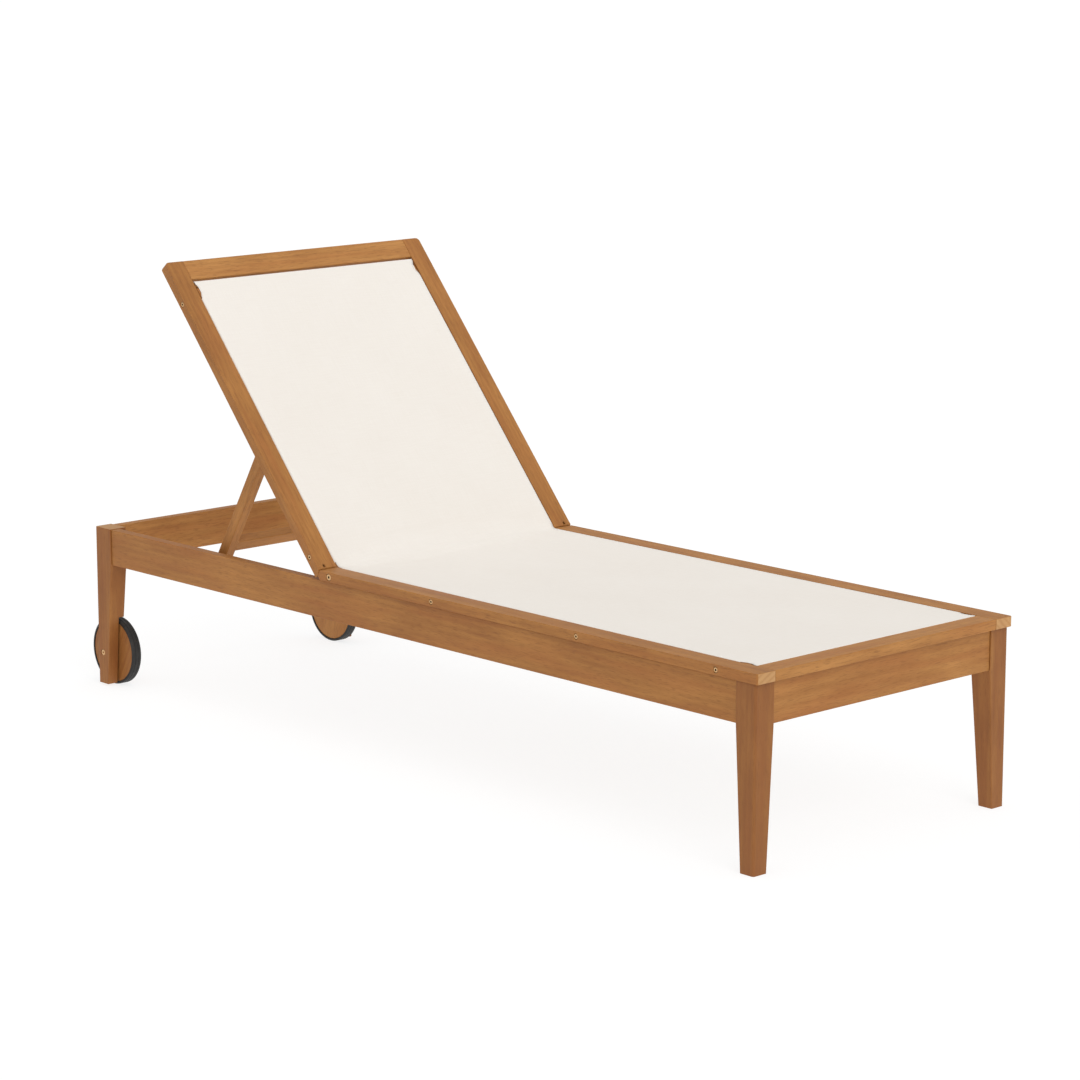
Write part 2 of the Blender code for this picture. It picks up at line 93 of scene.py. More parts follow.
def linear(hex_colour: str) -> tuple[float, float, float, float]:
    """Turn an sRGB hex colour into linear RGBA.

    Args:
        hex_colour: Six hex digits, with or without a leading hash.

    Returns:
        Linear red, green, blue and an alpha of 1.
    """
    digits = hex_colour.lstrip("#")
    channels = [int(digits[at:at + 2], 16) / 255 for at in (0, 2, 4)]
    return (*((c / 12.92 if c <= 0.04045 else ((c + 0.055) / 1.055) ** 2.4) for c in channels), 1.0)


def add_node(tree: bpy.types.NodeTree, kind: str, settings: dict | None = None,
             links: dict | None = None) -> bpy.types.Node:
    """Add one node to a tree.

    Args:
        tree: Node tree of a material or a world.
        kind: Blender's node type name.
        settings: Node properties by name, or socket values by index or socket name.
        links: Output sockets by the name or index of the input that takes them.

    Returns:
        The new node.
    """
    node = tree.nodes.new(kind)
    for key, value in (settings or {}).items():
        if isinstance(key, str) and hasattr(node, key):
            setattr(node, key, value)
        else:
            node.inputs[key].default_value = value
    for key, output in (links or {}).items():
        tree.links.new(output, node.inputs[key])
    return node


def ramp(node: bpy.types.Node, stops: Sequence[tuple[float, tuple]]) -> None:
    """Set the stops of a colour ramp node.

    Args:
        node: A ShaderNodeValToRGB.
        stops: Position and linear RGBA of each stop, in order.
    """
    elements = node.color_ramp.elements
    while len(elements) < len(stops):
        elements.new(0.5)
    for element, (position, colour) in zip(elements, stops):
        element.position = position
        element.color = colour


def spread(tree: bpy.types.NodeTree, value: bpy.types.NodeSocket,
           span: tuple[float, float, float]) -> bpy.types.NodeSocket:
    """Spread part of a value's range over 0 to a most.

    Args:
        tree: Node tree of a material.
        value: The value.
        span: The value that becomes 0, the value that becomes the most, and the most.

    Returns:
        The spread value.
    """
    low, high, most = span
    settings = {"From Min": low, "From Max": high, "To Max": most}
    return add_node(tree, "ShaderNodeMapRange", settings, {"Value": value}).outputs[0]


def mixed_colour(tree: bpy.types.NodeTree, share: bpy.types.NodeSocket, first: bpy.types.NodeSocket | tuple,
                 second: bpy.types.NodeSocket | tuple) -> bpy.types.NodeSocket:
    """Mix two colours, each a socket or a linear RGBA.

    Args:
        tree: Node tree of a material.
        share: How much of the second colour shows, 0 to 1.
        first: Colour at 0.
        second: Colour at 1.

    Returns:
        The mixed colour.
    """
    colours = {"A": first, "B": second}
    fixed = {key: value for key, value in colours.items() if isinstance(value, tuple)}
    linked = {key: value for key, value in colours.items() if key not in fixed}
    mix = add_node(tree, "ShaderNodeMix", {"data_type": "RGBA", **fixed}, {"Factor": share, **linked})
    return mix.outputs["Result"]


def new_material(name: str) -> tuple[bpy.types.Material, bpy.types.NodeTree, bpy.types.Node]:
    """Make a material with a Principled shader.

    Args:
        name: Name of the material.

    Returns:
        The material, its node tree and its shader.
    """
    made = bpy.data.materials.new(name)
    made.use_nodes = True
    tree = made.node_tree
    return made, tree, tree.nodes["Principled BSDF"]


# ---------------------------------------------------------------- finishes
@dataclass(frozen=True)
class OiledHardwood:
    """Planed and oiled tropical hardwood.

    It shows long soft streaks, paler and redder bands, fine dark pores along the grain and
    rings on its end grain, under a dull satin oil that evens out its gloss.
    """

    pale: str = "#BB8143"
    honey: str = "#A97238"
    deep: str = "#955F2C"
    red: str = "#A26330"
    pore_brown: str = "#744722"
    end_grain: str = "#D6AB76"
    ring_spacing: float = 11 * MM
    streak: tuple[float, float] = (130 * MM, 7 * MM)    # length and width of a fibre streak
    pore: tuple[float, float] = (20 * MM, 1.3 * MM)     # drawn about twice their real width, so as to show
    patch: tuple[float, float] = (150 * MM, 45 * MM)
    heart: tuple[float, float, float] = (0.0, 0.09, 0.13)       # from a board's middle to the rings' middle
    spacing: tuple[float, float, float] = (3.1, 0.07, 0.05)     # most that two boards lie apart in the tree
    ring_share: float = 0.09        # how far each layer moves the tone from deep to pale
    streak_share: float = 0.38
    patch_share: float = 0.66
    piece_share: float = 0.22
    tones: tuple[float, float, float] = (0.40, 0.68, 0.98)      # tone of deep, honey and pale
    red_span: tuple[float, float, float] = (0.45, 0.75, 0.55)   # from and to in its noise, and the most
    pore_span: tuple[float, float, float] = (0.54, 0.70, 0.42)
    ring_span: tuple[float, float, float] = (0.30, 1.00, 0.34)
    end_span: tuple[float, float, float] = (0.80, 0.97, 0.55)   # by how squarely a face cuts the grain
    roughness: tuple[float, float] = (0.44, 0.60)
    specular: float = 0.28
    relief: float = 0.25 * MM

    def make(self, grain: Grain) -> bpy.types.Material:
        """Build the wood for boards whose grain follows one of their own axes.

        Args:
            grain: The axis that the grain follows.

        Returns:
            The finished material.
        """
        made, tree, shader = new_material(f"oiled_hardwood_{grain.name.lower()}")
        along, piece = self._place(tree, grain)
        rings = add_node(tree, "ShaderNodeMapping", {"Location": self.heart, "Scale": (0.10, 1, 1)},
                         {"Vector": along}).outputs[0]
        figure = add_node(tree, "ShaderNodeTexWave",
                          {"wave_type": "RINGS", "rings_direction": "X",
                           "Scale": math.tau / 20 / self.ring_spacing, "Distortion": 9.0, "Detail": 2.0,
                           "Detail Scale": 0.35, "Detail Roughness": 0.6},
                          {"Vector": rings}).outputs["Fac"]
        patches = self._stretched(tree, along, self.patch, 2.0)
        streaks = self._stretched(tree, along, self.streak, 4.0)
        pores = self._stretched(tree, along, self.pore, 1.0)

        tone = add_node(tree, "ShaderNodeMath", {"operation": "MULTIPLY", 1: self.piece_share},
                        {0: piece}).outputs[0]
        for layer, share in ((figure, self.ring_share), (streaks, self.streak_share),
                             (patches, self.patch_share)):
            tone = add_node(tree, "ShaderNodeMath", {"operation": "MULTIPLY_ADD", 1: share},
                            {0: layer, 2: tone}).outputs[0]
        colour = add_node(tree, "ShaderNodeValToRGB", links={"Fac": tone})
        ramp(colour, list(zip(self.tones, map(linear, (self.deep, self.honey, self.pale)))))
        bands = self._stretched(tree, along, (self.patch[0] * 1.7, self.patch[1] * 0.6), 1.0)
        reddish = spread(tree, bands, self.red_span)
        tinted = mixed_colour(tree, reddish, colour.outputs["Color"], linear(self.red))
        dark_pore = spread(tree, pores, self.pore_span)
        pored = mixed_colour(tree, dark_pore, tinted, linear(self.pore_brown))
        ringed = mixed_colour(tree, spread(tree, figure, self.ring_span), linear(self.end_grain),
                              linear(self.deep))
        surface = mixed_colour(tree, self._end_face(tree, grain), pored, ringed)
        tree.links.new(surface, shader.inputs["Base Color"])

        gloss = add_node(tree, "ShaderNodeMapRange",
                         {"To Min": self.roughness[0], "To Max": self.roughness[1]}, {"Value": streaks})
        tree.links.new(gloss.outputs[0], shader.inputs["Roughness"])
        shader.inputs["Specular IOR Level"].default_value = self.specular
        height = add_node(tree, "ShaderNodeMath", {"operation": "MULTIPLY_ADD", 1: -0.6},
                          {0: dark_pore, 2: streaks}).outputs[0]
        bump = add_node(tree, "ShaderNodeBump", {"Strength": 0.35, "Distance": self.relief},
                        {"Height": height})
        tree.links.new(bump.outputs[0], shader.inputs["Normal"])
        return made

    def _place(self, tree: bpy.types.NodeTree,
               grain: Grain) -> tuple[bpy.types.NodeSocket, bpy.types.NodeSocket]:
        """Turn a board's own axes so that X follows the grain, and start each board at its own place.

        Args:
            tree: Node tree of the wood.
            grain: The axis that the grain follows.

        Returns:
            The place in the wood, and the board's own number from 0 to 1.
        """
        place = add_node(tree, "ShaderNodeTexCoord").outputs["Object"]
        piece = add_node(tree, "ShaderNodeObjectInfo").outputs["Random"]
        aligned = add_node(tree, "ShaderNodeMapping", {"Rotation": grain.value}, {"Vector": place}).outputs[0]
        shift = add_node(tree, "ShaderNodeVectorMath", {"operation": "SCALE", 0: self.spacing},
                         {"Scale": piece}).outputs[0]
        along = add_node(tree, "ShaderNodeVectorMath", {"operation": "ADD"},
                         {0: aligned, 1: shift}).outputs[0]
        return along, piece

    def _end_face(self, tree: bpy.types.NodeTree, grain: Grain) -> bpy.types.NodeSocket:
        """Find the faces that cut across the grain.

        Args:
            tree: Node tree of the wood.
            grain: The axis that the grain follows.

        Returns:
            How far a face shows end grain, 0 on the long faces.
        """
        facing = add_node(tree, "ShaderNodeTexCoord").outputs["Normal"]
        across = add_node(tree, "ShaderNodeMapping", {"vector_type": "NORMAL", "Rotation": grain.value},
                          {"Vector": facing}).outputs[0]
        lengthwise = add_node(tree, "ShaderNodeSeparateXYZ", links={0: across}).outputs["X"]
        at_end = add_node(tree, "ShaderNodeMath", {"operation": "ABSOLUTE"}, {0: lengthwise}).outputs[0]
        return spread(tree, at_end, self.end_span)

    @staticmethod
    def _stretched(tree: bpy.types.NodeTree, place: bpy.types.NodeSocket, cell: tuple[float, float],
                   detail: float) -> bpy.types.NodeSocket:
        """Noise whose cells are drawn out along the grain.

        Args:
            tree: Node tree of the wood.
            place: The place in the wood.
            cell: Length and width of a cell.
            detail: How much finer noise lies within the cells.

        Returns:
            The noise, about 0 to 1.
        """
        scaled = add_node(tree, "ShaderNodeMapping", {"Scale": (1 / cell[0], 1 / cell[1], 1 / cell[1])},
                          {"Vector": place}).outputs[0]
        return add_node(tree, "ShaderNodeTexNoise", {"Scale": 1.0, "Detail": detail, "Roughness": 0.55},
                        {"Vector": scaled}).outputs[0]


@dataclass(frozen=True)
class WovenSlingFabric:
    """Plain-woven synthetic outdoor canvas in off-white.

    It is matt and nearly flat, with a close weave, slightly slubby threads and a faint sheen
    where it turns away from the eye.
    """

    thread: str = "#F1ECE5"
    shade: str = "#E9E2D9"
    pitch: float = 1.5 * MM         # thread spacing, drawn coarser than the real 0.8 mm so as to show
    slub: float = 35 * MM           # length of a thicker stretch of thread
    cloud_scale: tuple[float, float, float] = (5.0, 4.0, 1.0)   # wide uneven tone, in clouds per metre
    shade_span: tuple[float, float, float] = (0.6, 2.6, 1.0)
    relief: float = 0.2 * MM
    roughness: float = 0.92
    specular: float = 0.20
    sheen: float = 0.06
    sheen_roughness: float = 0.5

    def make(self) -> bpy.types.Material:
        """Build the fabric on a UV map that is measured in metres.

        Returns:
            The finished material.
        """
        made, tree, shader = new_material("woven_sling_canvas")
        cloth = add_node(tree, "ShaderNodeUVMap", {"uv_map": "cloth"}).outputs[0]
        parts = add_node(tree, "ShaderNodeSeparateXYZ", links={0: cloth})
        threads = []
        for axis in ("X", "Y"):
            turns = add_node(tree, "ShaderNodeMath", {"operation": "MULTIPLY", 1: math.pi / self.pitch},
                             {0: parts.outputs[axis]}).outputs[0]
            threads.append(add_node(tree, "ShaderNodeMath", {"operation": "SINE"}, {0: turns}).outputs[0])
        weave = add_node(tree, "ShaderNodeMath", {"operation": "MULTIPLY"},
                         {0: threads[0], 1: threads[1]}).outputs[0]
        slubs = []
        for stretch in ((1 / self.slub, 1 / self.pitch, 1.0), (1 / self.pitch, 1 / self.slub, 1.0)):
            place = add_node(tree, "ShaderNodeMapping", {"Scale": stretch}, {"Vector": cloth}).outputs[0]
            slubs.append(add_node(tree, "ShaderNodeTexNoise", {"Scale": 0.7, "Detail": 1.0},
                                  {"Vector": place}).outputs[0])
        slub = add_node(tree, "ShaderNodeMath", {"operation": "ADD"}, {0: slubs[0], 1: slubs[1]}).outputs[0]
        wide = add_node(tree, "ShaderNodeMapping", {"Scale": self.cloud_scale}, {"Vector": cloth}).outputs[0]
        clouds = add_node(tree, "ShaderNodeTexNoise", {"Scale": 1.0, "Detail": 2.0},
                          {"Vector": wide}).outputs[0]
        height = add_node(tree, "ShaderNodeMath", {"operation": "MULTIPLY_ADD", 1: 0.5},
                          {0: weave, 2: slub}).outputs[0]
        shading = add_node(tree, "ShaderNodeMath", {"operation": "MULTIPLY_ADD", 1: 1.1},
                           {0: clouds, 2: height}).outputs[0]
        colour = mixed_colour(tree, spread(tree, shading, self.shade_span), linear(self.shade),
                              linear(self.thread))
        tree.links.new(colour, shader.inputs["Base Color"])
        bump = add_node(tree, "ShaderNodeBump", {"Strength": 0.25, "Distance": self.relief},
                        {"Height": height})
        tree.links.new(bump.outputs[0], shader.inputs["Normal"])
        shader.inputs["Roughness"].default_value = self.roughness
        shader.inputs["Specular IOR Level"].default_value = self.specular
        shader.inputs["Sheen Weight"].default_value = self.sheen
        shader.inputs["Sheen Roughness"].default_value = self.sheen_roughness
        return made


@dataclass(frozen=True)
class MouldedRubber:
    """Solid black rubber, moulded and a little scuffed: dark, dull, with a fine grit."""

    colour: str = "#1C1B1A"
    scuffed: str = "#34312E"
    scuff: float = 1 / 45           # width of a scuff, in metres
    scuff_span: tuple[float, float, float] = (0.45, 0.80, 1.0)
    grit: float = 0.8 * MM
    relief: float = 0.1 * MM
    roughness: float = 0.62

    def make(self) -> bpy.types.Material:
        """Build the rubber.

        Returns:
            The finished material.
        """
        made, tree, shader = new_material("moulded_black_rubber")
        place = add_node(tree, "ShaderNodeTexCoord").outputs["Object"]
        scuffs = add_node(tree, "ShaderNodeTexNoise", {"Scale": 1 / self.scuff, "Detail": 4.0},
                          {"Vector": place})
        colour = mixed_colour(tree, spread(tree, scuffs.outputs[0], self.scuff_span), linear(self.colour),
                              linear(self.scuffed))
        grit = add_node(tree, "ShaderNodeTexNoise", {"Scale": 1 / self.grit, "Detail": 1.0},
                        {"Vector": place})
        bump = add_node(tree, "ShaderNodeBump", {"Strength": 0.3, "Distance": self.relief},
                        {"Height": grit.outputs[0]})
        tree.links.new(colour, shader.inputs["Base Color"])
        tree.links.new(bump.outputs[0], shader.inputs["Normal"])
        shader.inputs["Roughness"].default_value = self.roughness
        return made


@dataclass(frozen=True)
class PlatedSteel:
    """Drawn steel with a thin plating that has dulled outdoors: soft reflections, faint mottling.

    With dark colours and a high roughness it is the tarnished metal inside a screw's socket, darkened further
    as painted shade in the recess.
    """

    name: str
    bright: str
    dull: str
    roughness: tuple[float, float] = (0.28, 0.45)       # of the bright and of the dull patches
    mottle: float = 3 * MM

    def make(self) -> bpy.types.Material:
        """Build the plated metal.

        Returns:
            The finished material.
        """
        made, tree, shader = new_material(self.name)
        place = add_node(tree, "ShaderNodeTexCoord").outputs["Object"]
        mottle = add_node(tree, "ShaderNodeTexNoise", {"Scale": 1 / self.mottle, "Detail": 3.0},
                          {"Vector": place}).outputs[0]
        colour = mixed_colour(tree, mottle, linear(self.bright), linear(self.dull))
        gloss = add_node(tree, "ShaderNodeMapRange",
                         {"To Min": self.roughness[0], "To Max": self.roughness[1]}, {"Value": mottle})
        tree.links.new(colour, shader.inputs["Base Color"])
        tree.links.new(gloss.outputs[0], shader.inputs["Roughness"])
        shader.inputs["Metallic"].default_value = 1.0
        return made


class Finishes:
    """Every material of the lounger, made once."""

    def __init__(self) -> None:
        """Make all the materials: legs and near wheel take a dimmer copy of the wood as painted shade, the
        pieces that run across take a brighter copy as painted light.
        """
        usual = OiledHardwood()
        # Painted light and shade: a dimmer copy of the wood for the shaded legs and near wheel, a brighter
        # copy for the cross pieces, whose faces turn to the lamp.
        shaded_wood_copy = OiledHardwood(pale="#A6713A", honey="#955F2E", deep="#834F25", red="#8D542A")
        lit_wood_copy = OiledHardwood(pale="#C2894B", honey="#B0793E", deep="#9C652F", red="#A96934")
        boards = {Grain.ALONG_Z: shaded_wood_copy, Grain.ACROSS_NEAR_DISC: shaded_wood_copy, Grain.ALONG_Y: lit_wood_copy}
        self.wood = {grain: boards.get(grain, usual).make(grain) for grain in Grain}
        self.fabric = WovenSlingFabric().make()
        self.rubber = MouldedRubber().make()
        self.brass = PlatedSteel("brass_plated_steel", "#E6C295", "#C2945F").make()
        self.zinc = PlatedSteel("zinc_plated_steel", "#B9B8B4", "#8F8E8A").make()
        # Socket insides: tarnished metal, and painted shade in the recess.
        self.socket_tarnish_and_shade = PlatedSteel("socket_tarnish_and_painted_shade", "#2E2419", "#1D1711", (0.6, 0.8)).make()


# ---------------------------------------------------------------- making pieces
def set_at(origin: Vector, turn: float) -> Matrix:
    """Where a piece's own axes lie.

    Args:
        origin: Their origin.
        turn: How far they are turned about Y, in radians.

    Returns:
        The matrix from the piece's own axes to the frame's.
    """
    return Matrix.Translation(origin) @ Euler((0, turn, 0)).to_matrix().to_4x4()


def mesh_of(name: str, shape: bmesh.types.BMesh, sharp: float | None = None) -> bpy.types.Mesh:
    """Turn a solid or sheet into a mesh, and free it.

    Args:
        name: Name of the mesh.
        shape: The solid or sheet.
        sharp: Edges that turn by more degrees than this stay sharp; faces stay flat if left out.

    Returns:
        The mesh.
    """
    mesh = bpy.data.meshes.new(name)
    shape.to_mesh(mesh)
    shape.free()
    if sharp is not None:
        mesh.shade_smooth()
        mesh.set_sharp_from_angle(angle=math.radians(sharp))
    return mesh


def put_in_scene(name: str, mesh: bpy.types.Mesh) -> bpy.types.Object:
    """Make an object from a mesh and put it in the scene.

    Args:
        name: Name of the object.
        mesh: Its mesh.

    Returns:
        The object.
    """
    made = bpy.data.objects.new(name, mesh)
    bpy.context.scene.collection.objects.link(made)
    return made


@dataclass
class Maker:
    """Turns meshes into named pieces that ride on a body and stand for CAD nodes."""

    finishes: Finishes
    hinge: Matrix = field(default_factory=lambda: set_at(HINGE, BACK_ANGLE))     # the backrest's own axes
    ease: float = 1.3 * MM          # usual radius of a board's edges
    ease_steps: int = 3
    ease_from: float = 32.0         # degrees; an edge that turns less than this isn't eased
    sharp_from: float = 38.0        # degrees; an edge that turns more than this stays sharp

    def place(self, name: str, mesh: bpy.types.Mesh, finish: bpy.types.Material, body: str, slot: str,
              nodes: Iterable[str] = (), frame_of: Matrix | None = None) -> bpy.types.Object:
        """Put a mesh in the scene as a piece.

        Args:
            name: Name of the piece.
            mesh: Its mesh, in its own axes.
            finish: Its material.
            body: Body that it moves with.
            slot: The record's material slot; not used.
            nodes: CAD nodes that it stands for.
            frame_of: Where its own axes lie; the world's axes if left out.

        Returns:
            The piece.
        """
        piece = put_in_scene(name, mesh)
        piece.matrix_world = frame_of or Matrix.Identity(4)
        mesh.materials.append(finish)
        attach(piece, body)
        if nodes:
            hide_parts(*nodes)
        LOG.info("%s rides on %s", name, body)
        return piece

    def board(self, name: str, shape: bmesh.types.BMesh, grain: Grain, body: str, nodes: Iterable[str] = (),
              frame_of: Matrix | None = None, ease: float | None = None,
              holes: Sequence[bmesh.types.BMesh] = ()) -> bpy.types.Object:
        """Ease a board's edges, cut its holes and place it.

        Args:
            name: Name of the board.
            shape: Its sharp-edged solid; it is freed here.
            grain: Which of its own axes the grain follows.
            body: Body that it moves with.
            nodes: CAD nodes that it stands for.
            frame_of: Where its own axes lie.
            ease: Radius of the eased edges.
            holes: Closed solids that are taken out of it; they are freed here.

        Returns:
            The board.
        """
        blank = put_in_scene(f"{name}_blank", mesh_of(name, shape))
        eased = blank.modifiers.new("eased", "BEVEL")
        eased.width = self.ease if ease is None else ease
        eased.segments = self.ease_steps
        eased.angle_limit = math.radians(self.ease_from)
        cutters = []
        for number, hole in enumerate(holes):
            cutters.append(put_in_scene(f"{name}_hole_{number}", mesh_of(f"{name}_hole_{number}", hole)))
            cut = blank.modifiers.new(f"hole_{number}", "BOOLEAN")
            cut.operation = "DIFFERENCE"
            cut.solver = "EXACT"
            cut.object = cutters[-1]
        graph = bpy.context.evaluated_depsgraph_get()
        final = bpy.data.meshes.new_from_object(blank.evaluated_get(graph))
        final.name = name
        for spent in [blank, *cutters]:
            bpy.data.objects.remove(spent, do_unlink=True)
        final.materials.clear()
        final.shade_smooth()
        final.set_sharp_from_angle(angle=math.radians(self.sharp_from))
        piece = self.place(name, final, self.finishes.wood[grain], body, "oiled_hardwood", nodes, frame_of)
        flat = piece.modifiers.new("flat_faces", "WEIGHTED_NORMAL")
        flat.keep_sharp = True
        return piece

    @staticmethod
    def refinish(node: str, finish: bpy.types.Material) -> None:
        """Give a CAD node that keeps its shape its finish.

        Args:
            node: Name of the node.
            finish: Its material.
        """
        piece = frame["nodes"][node]
        piece.data.materials.clear()
        piece.data.materials.append(finish)
        LOG.info("%s keeps its CAD shape", node)


def block(low: Sequence[float], high: Sequence[float]) -> bmesh.types.BMesh:
    """A rectangular solid between two corners.

    Args:
        low: Lowest corner.
        high: Highest corner.

    Returns:
        The solid.
    """
    low, high = Vector(low), Vector(high)
    shape = bmesh.new()
    bmesh.ops.create_cube(shape, size=1.0)
    bmesh.ops.scale(shape, vec=high - low, verts=shape.verts)
    bmesh.ops.translate(shape, vec=(low + high) / 2, verts=shape.verts)
    return shape


def prism(outline: Sequence[tuple[float, float]], y_low: float, y_high: float) -> bmesh.types.BMesh:
    """A solid whose side view in X and Z is an outline.

    Args:
        outline: Points (x, z) in order round the outline.
        y_low: One face.
        y_high: The other face.

    Returns:
        The solid.
    """
    shape = bmesh.new()
    rings = [[shape.verts.new((x, y, z)) for x, z in outline] for y in (y_low, y_high)]
    shape.faces.new(rings[0])
    shape.faces.new(reversed(rings[1]))
    for at in range(len(outline)):
        after = (at + 1) % len(outline)
        shape.faces.new((rings[0][after], rings[0][at], rings[1][at], rings[1][after]))
    bmesh.ops.recalc_face_normals(shape, faces=shape.faces)
    return shape


def loft(sections: Sequence[Sequence[Vector]]) -> bmesh.types.BMesh:
    """A solid through closed sections that have the same number of points.

    Args:
        sections: Rings of points, from one end to the other.

    Returns:
        The solid, with both ends closed.
    """
    shape = bmesh.new()
    rings = [[shape.verts.new(point) for point in section] for section in sections]
    count = len(rings[0])
    for low, high in zip(rings, rings[1:]):
        for at in range(count):
            after = (at + 1) % count
            shape.faces.new((low[at], low[after], high[after], high[at]))
    shape.faces.new(reversed(rings[0]))
    shape.faces.new(rings[-1])
    bmesh.ops.recalc_face_normals(shape, faces=shape.faces)
    return shape


def rounded_corner(corner: Vector, before: Vector, after: Vector, radius: float,
                   steps: int = 5) -> list[Vector]:
    """Points that round a square corner.

    Args:
        corner: The sharp corner.
        before: Unit direction from the corner back along the incoming edge.
        after: Unit direction from the corner along the outgoing edge.
        radius: Radius of the rounding.
        steps: Segments on the arc.

    Returns:
        Points from the incoming edge to the outgoing edge.
    """
    centre = corner + (before + after) * radius
    turns = (step / steps * math.pi / 2 for step in range(steps + 1))
    return [centre - after * radius * math.cos(turn) - before * radius * math.sin(turn) for turn in turns]


def rounded_plan(x_low: float, x_high: float, y_low: float, y_high: float, z: float,
                 radii: Sequence[float]) -> list[Vector]:
    """A level rectangle with its own radius at each corner.

    Args:
        x_low: Lowest X.
        x_high: Highest X.
        y_low: Lowest Y.
        y_high: Highest Y.
        z: Height.
        radii: Corner radii, anticlockwise from the lowest corner.

    Returns:
        Points anticlockwise round the rectangle.
    """
    east, north = Vector((1, 0, 0)), Vector((0, 1, 0))
    corners = ((x_low, y_low, north, east), (x_high, y_low, -east, north),
               (x_high, y_high, -north, -east), (x_low, y_high, east, -north))
    points = []
    for (x, y, before, after), radius in zip(corners, radii):
        points += rounded_corner(Vector((x, y, z)), before, after, radius)
    return points


def turned(profile: Sequence[tuple[float, float]] | Sequence[tuple[float, float, int]], steps: int,
           ring: bool = False, along: Vector = Vector((0, 1, 0))) -> bmesh.types.BMesh:
    """A turned solid about Y.

    Args:
        profile: (radius, distance) pairs, or triples whose last value is the number of flats
            that a section has, 0 for a round one.
        steps: Divisions round the axis.
        ring: True if the profile closes on itself, as for a tyre.
        along: Unit vector that distance runs along, +Y or -Y.

    Returns:
        The solid.
    """
    shape = bmesh.new()
    rows = []
    for point in profile:
        radius, distance = point[0], point[1]
        flats = point[2] if len(point) > 2 else 0
        row = []
        for step in range(1 if radius == 0 else steps):
            turn = math.tau * step / steps
            reach = radius
            if flats:
                sector = math.tau / flats
                reach = radius * math.cos(sector / 2) / math.cos((turn + sector / 2) % sector - sector / 2)
            row.append(shape.verts.new((reach * math.cos(turn), along.y * distance, reach * math.sin(turn))))
        rows.append(row)
    pairs = list(zip(rows, rows[1:])) + ([(rows[-1], rows[0])] if ring else [])
    for first, second in pairs:
        for step in range(steps):
            after = (step + 1) % steps
            corners = [first[step % len(first)], first[after % len(first)],
                       second[after % len(second)], second[step % len(second)]]
            unique = list(dict.fromkeys(corners))
            if len(unique) > 2:
                shape.faces.new(unique)
    bmesh.ops.recalc_face_normals(shape, faces=shape.faces)
    return shape


def arc(centre: tuple[float, float], radius: float, start: float, stop: float,
        steps: int) -> list[tuple[float, float]]:
    """Points on an arc.

    Args:
        centre: Its centre.
        radius: Its radius.
        start: First angle in degrees.
        stop: Last angle in degrees.
        steps: Segments.

    Returns:
        The points as (x, z) pairs.
    """
    angles = (math.radians(start + (stop - start) * step / steps) for step in range(steps + 1))
    return [(centre[0] + radius * math.cos(angle), centre[1] + radius * math.sin(angle)) for angle in angles]


def hole(radius: float, centre: Sequence[float], side: float, outer: float,
         depth: float) -> bmesh.types.BMesh:
    """A round cutter that opens in a face across Y.

    Args:
        radius: Radius of the hole.
        centre: Its (x, z) in the board's own axes.
        side: -1 for the near side, +1 for the far side.
        outer: Distance of the face from the middle.
        depth: How deep it goes.

    Returns:
        The cutter.
    """
    mouth, end = outer + 2 * MM, outer - depth
    profile = [(0, mouth), (radius, mouth), (radius, end), (0, end)]
    shape = turned(profile, HOLE_STEPS, along=Vector((0, side, 0)))
    bmesh.ops.translate(shape, vec=(centre[0], 0, centre[1]), verts=shape.verts)
    return shape


def round_upright(shape: bmesh.types.BMesh, x: float, side: float, outer: float, radius: float,
                  steps: int) -> None:
    """Round the upright edge at one outer corner of a rail.

    Args:
        shape: The rail.
        x: X of the corner.
        side: -1 for the near side, +1 for the far side.
        outer: Distance of the rail's outer face from the middle.
        radius: Radius of the rounding.
        steps: Segments on it.
    """
    close = 1e-6
    corner = [edge for edge in shape.edges
              if all(abs(end.co.x - x) < close and end.co.y * side > outer - close for end in edge.verts)]
    bmesh.ops.bevel(shape, geom=corner, offset=radius, segments=steps, profile=0.5, affect="EDGES")


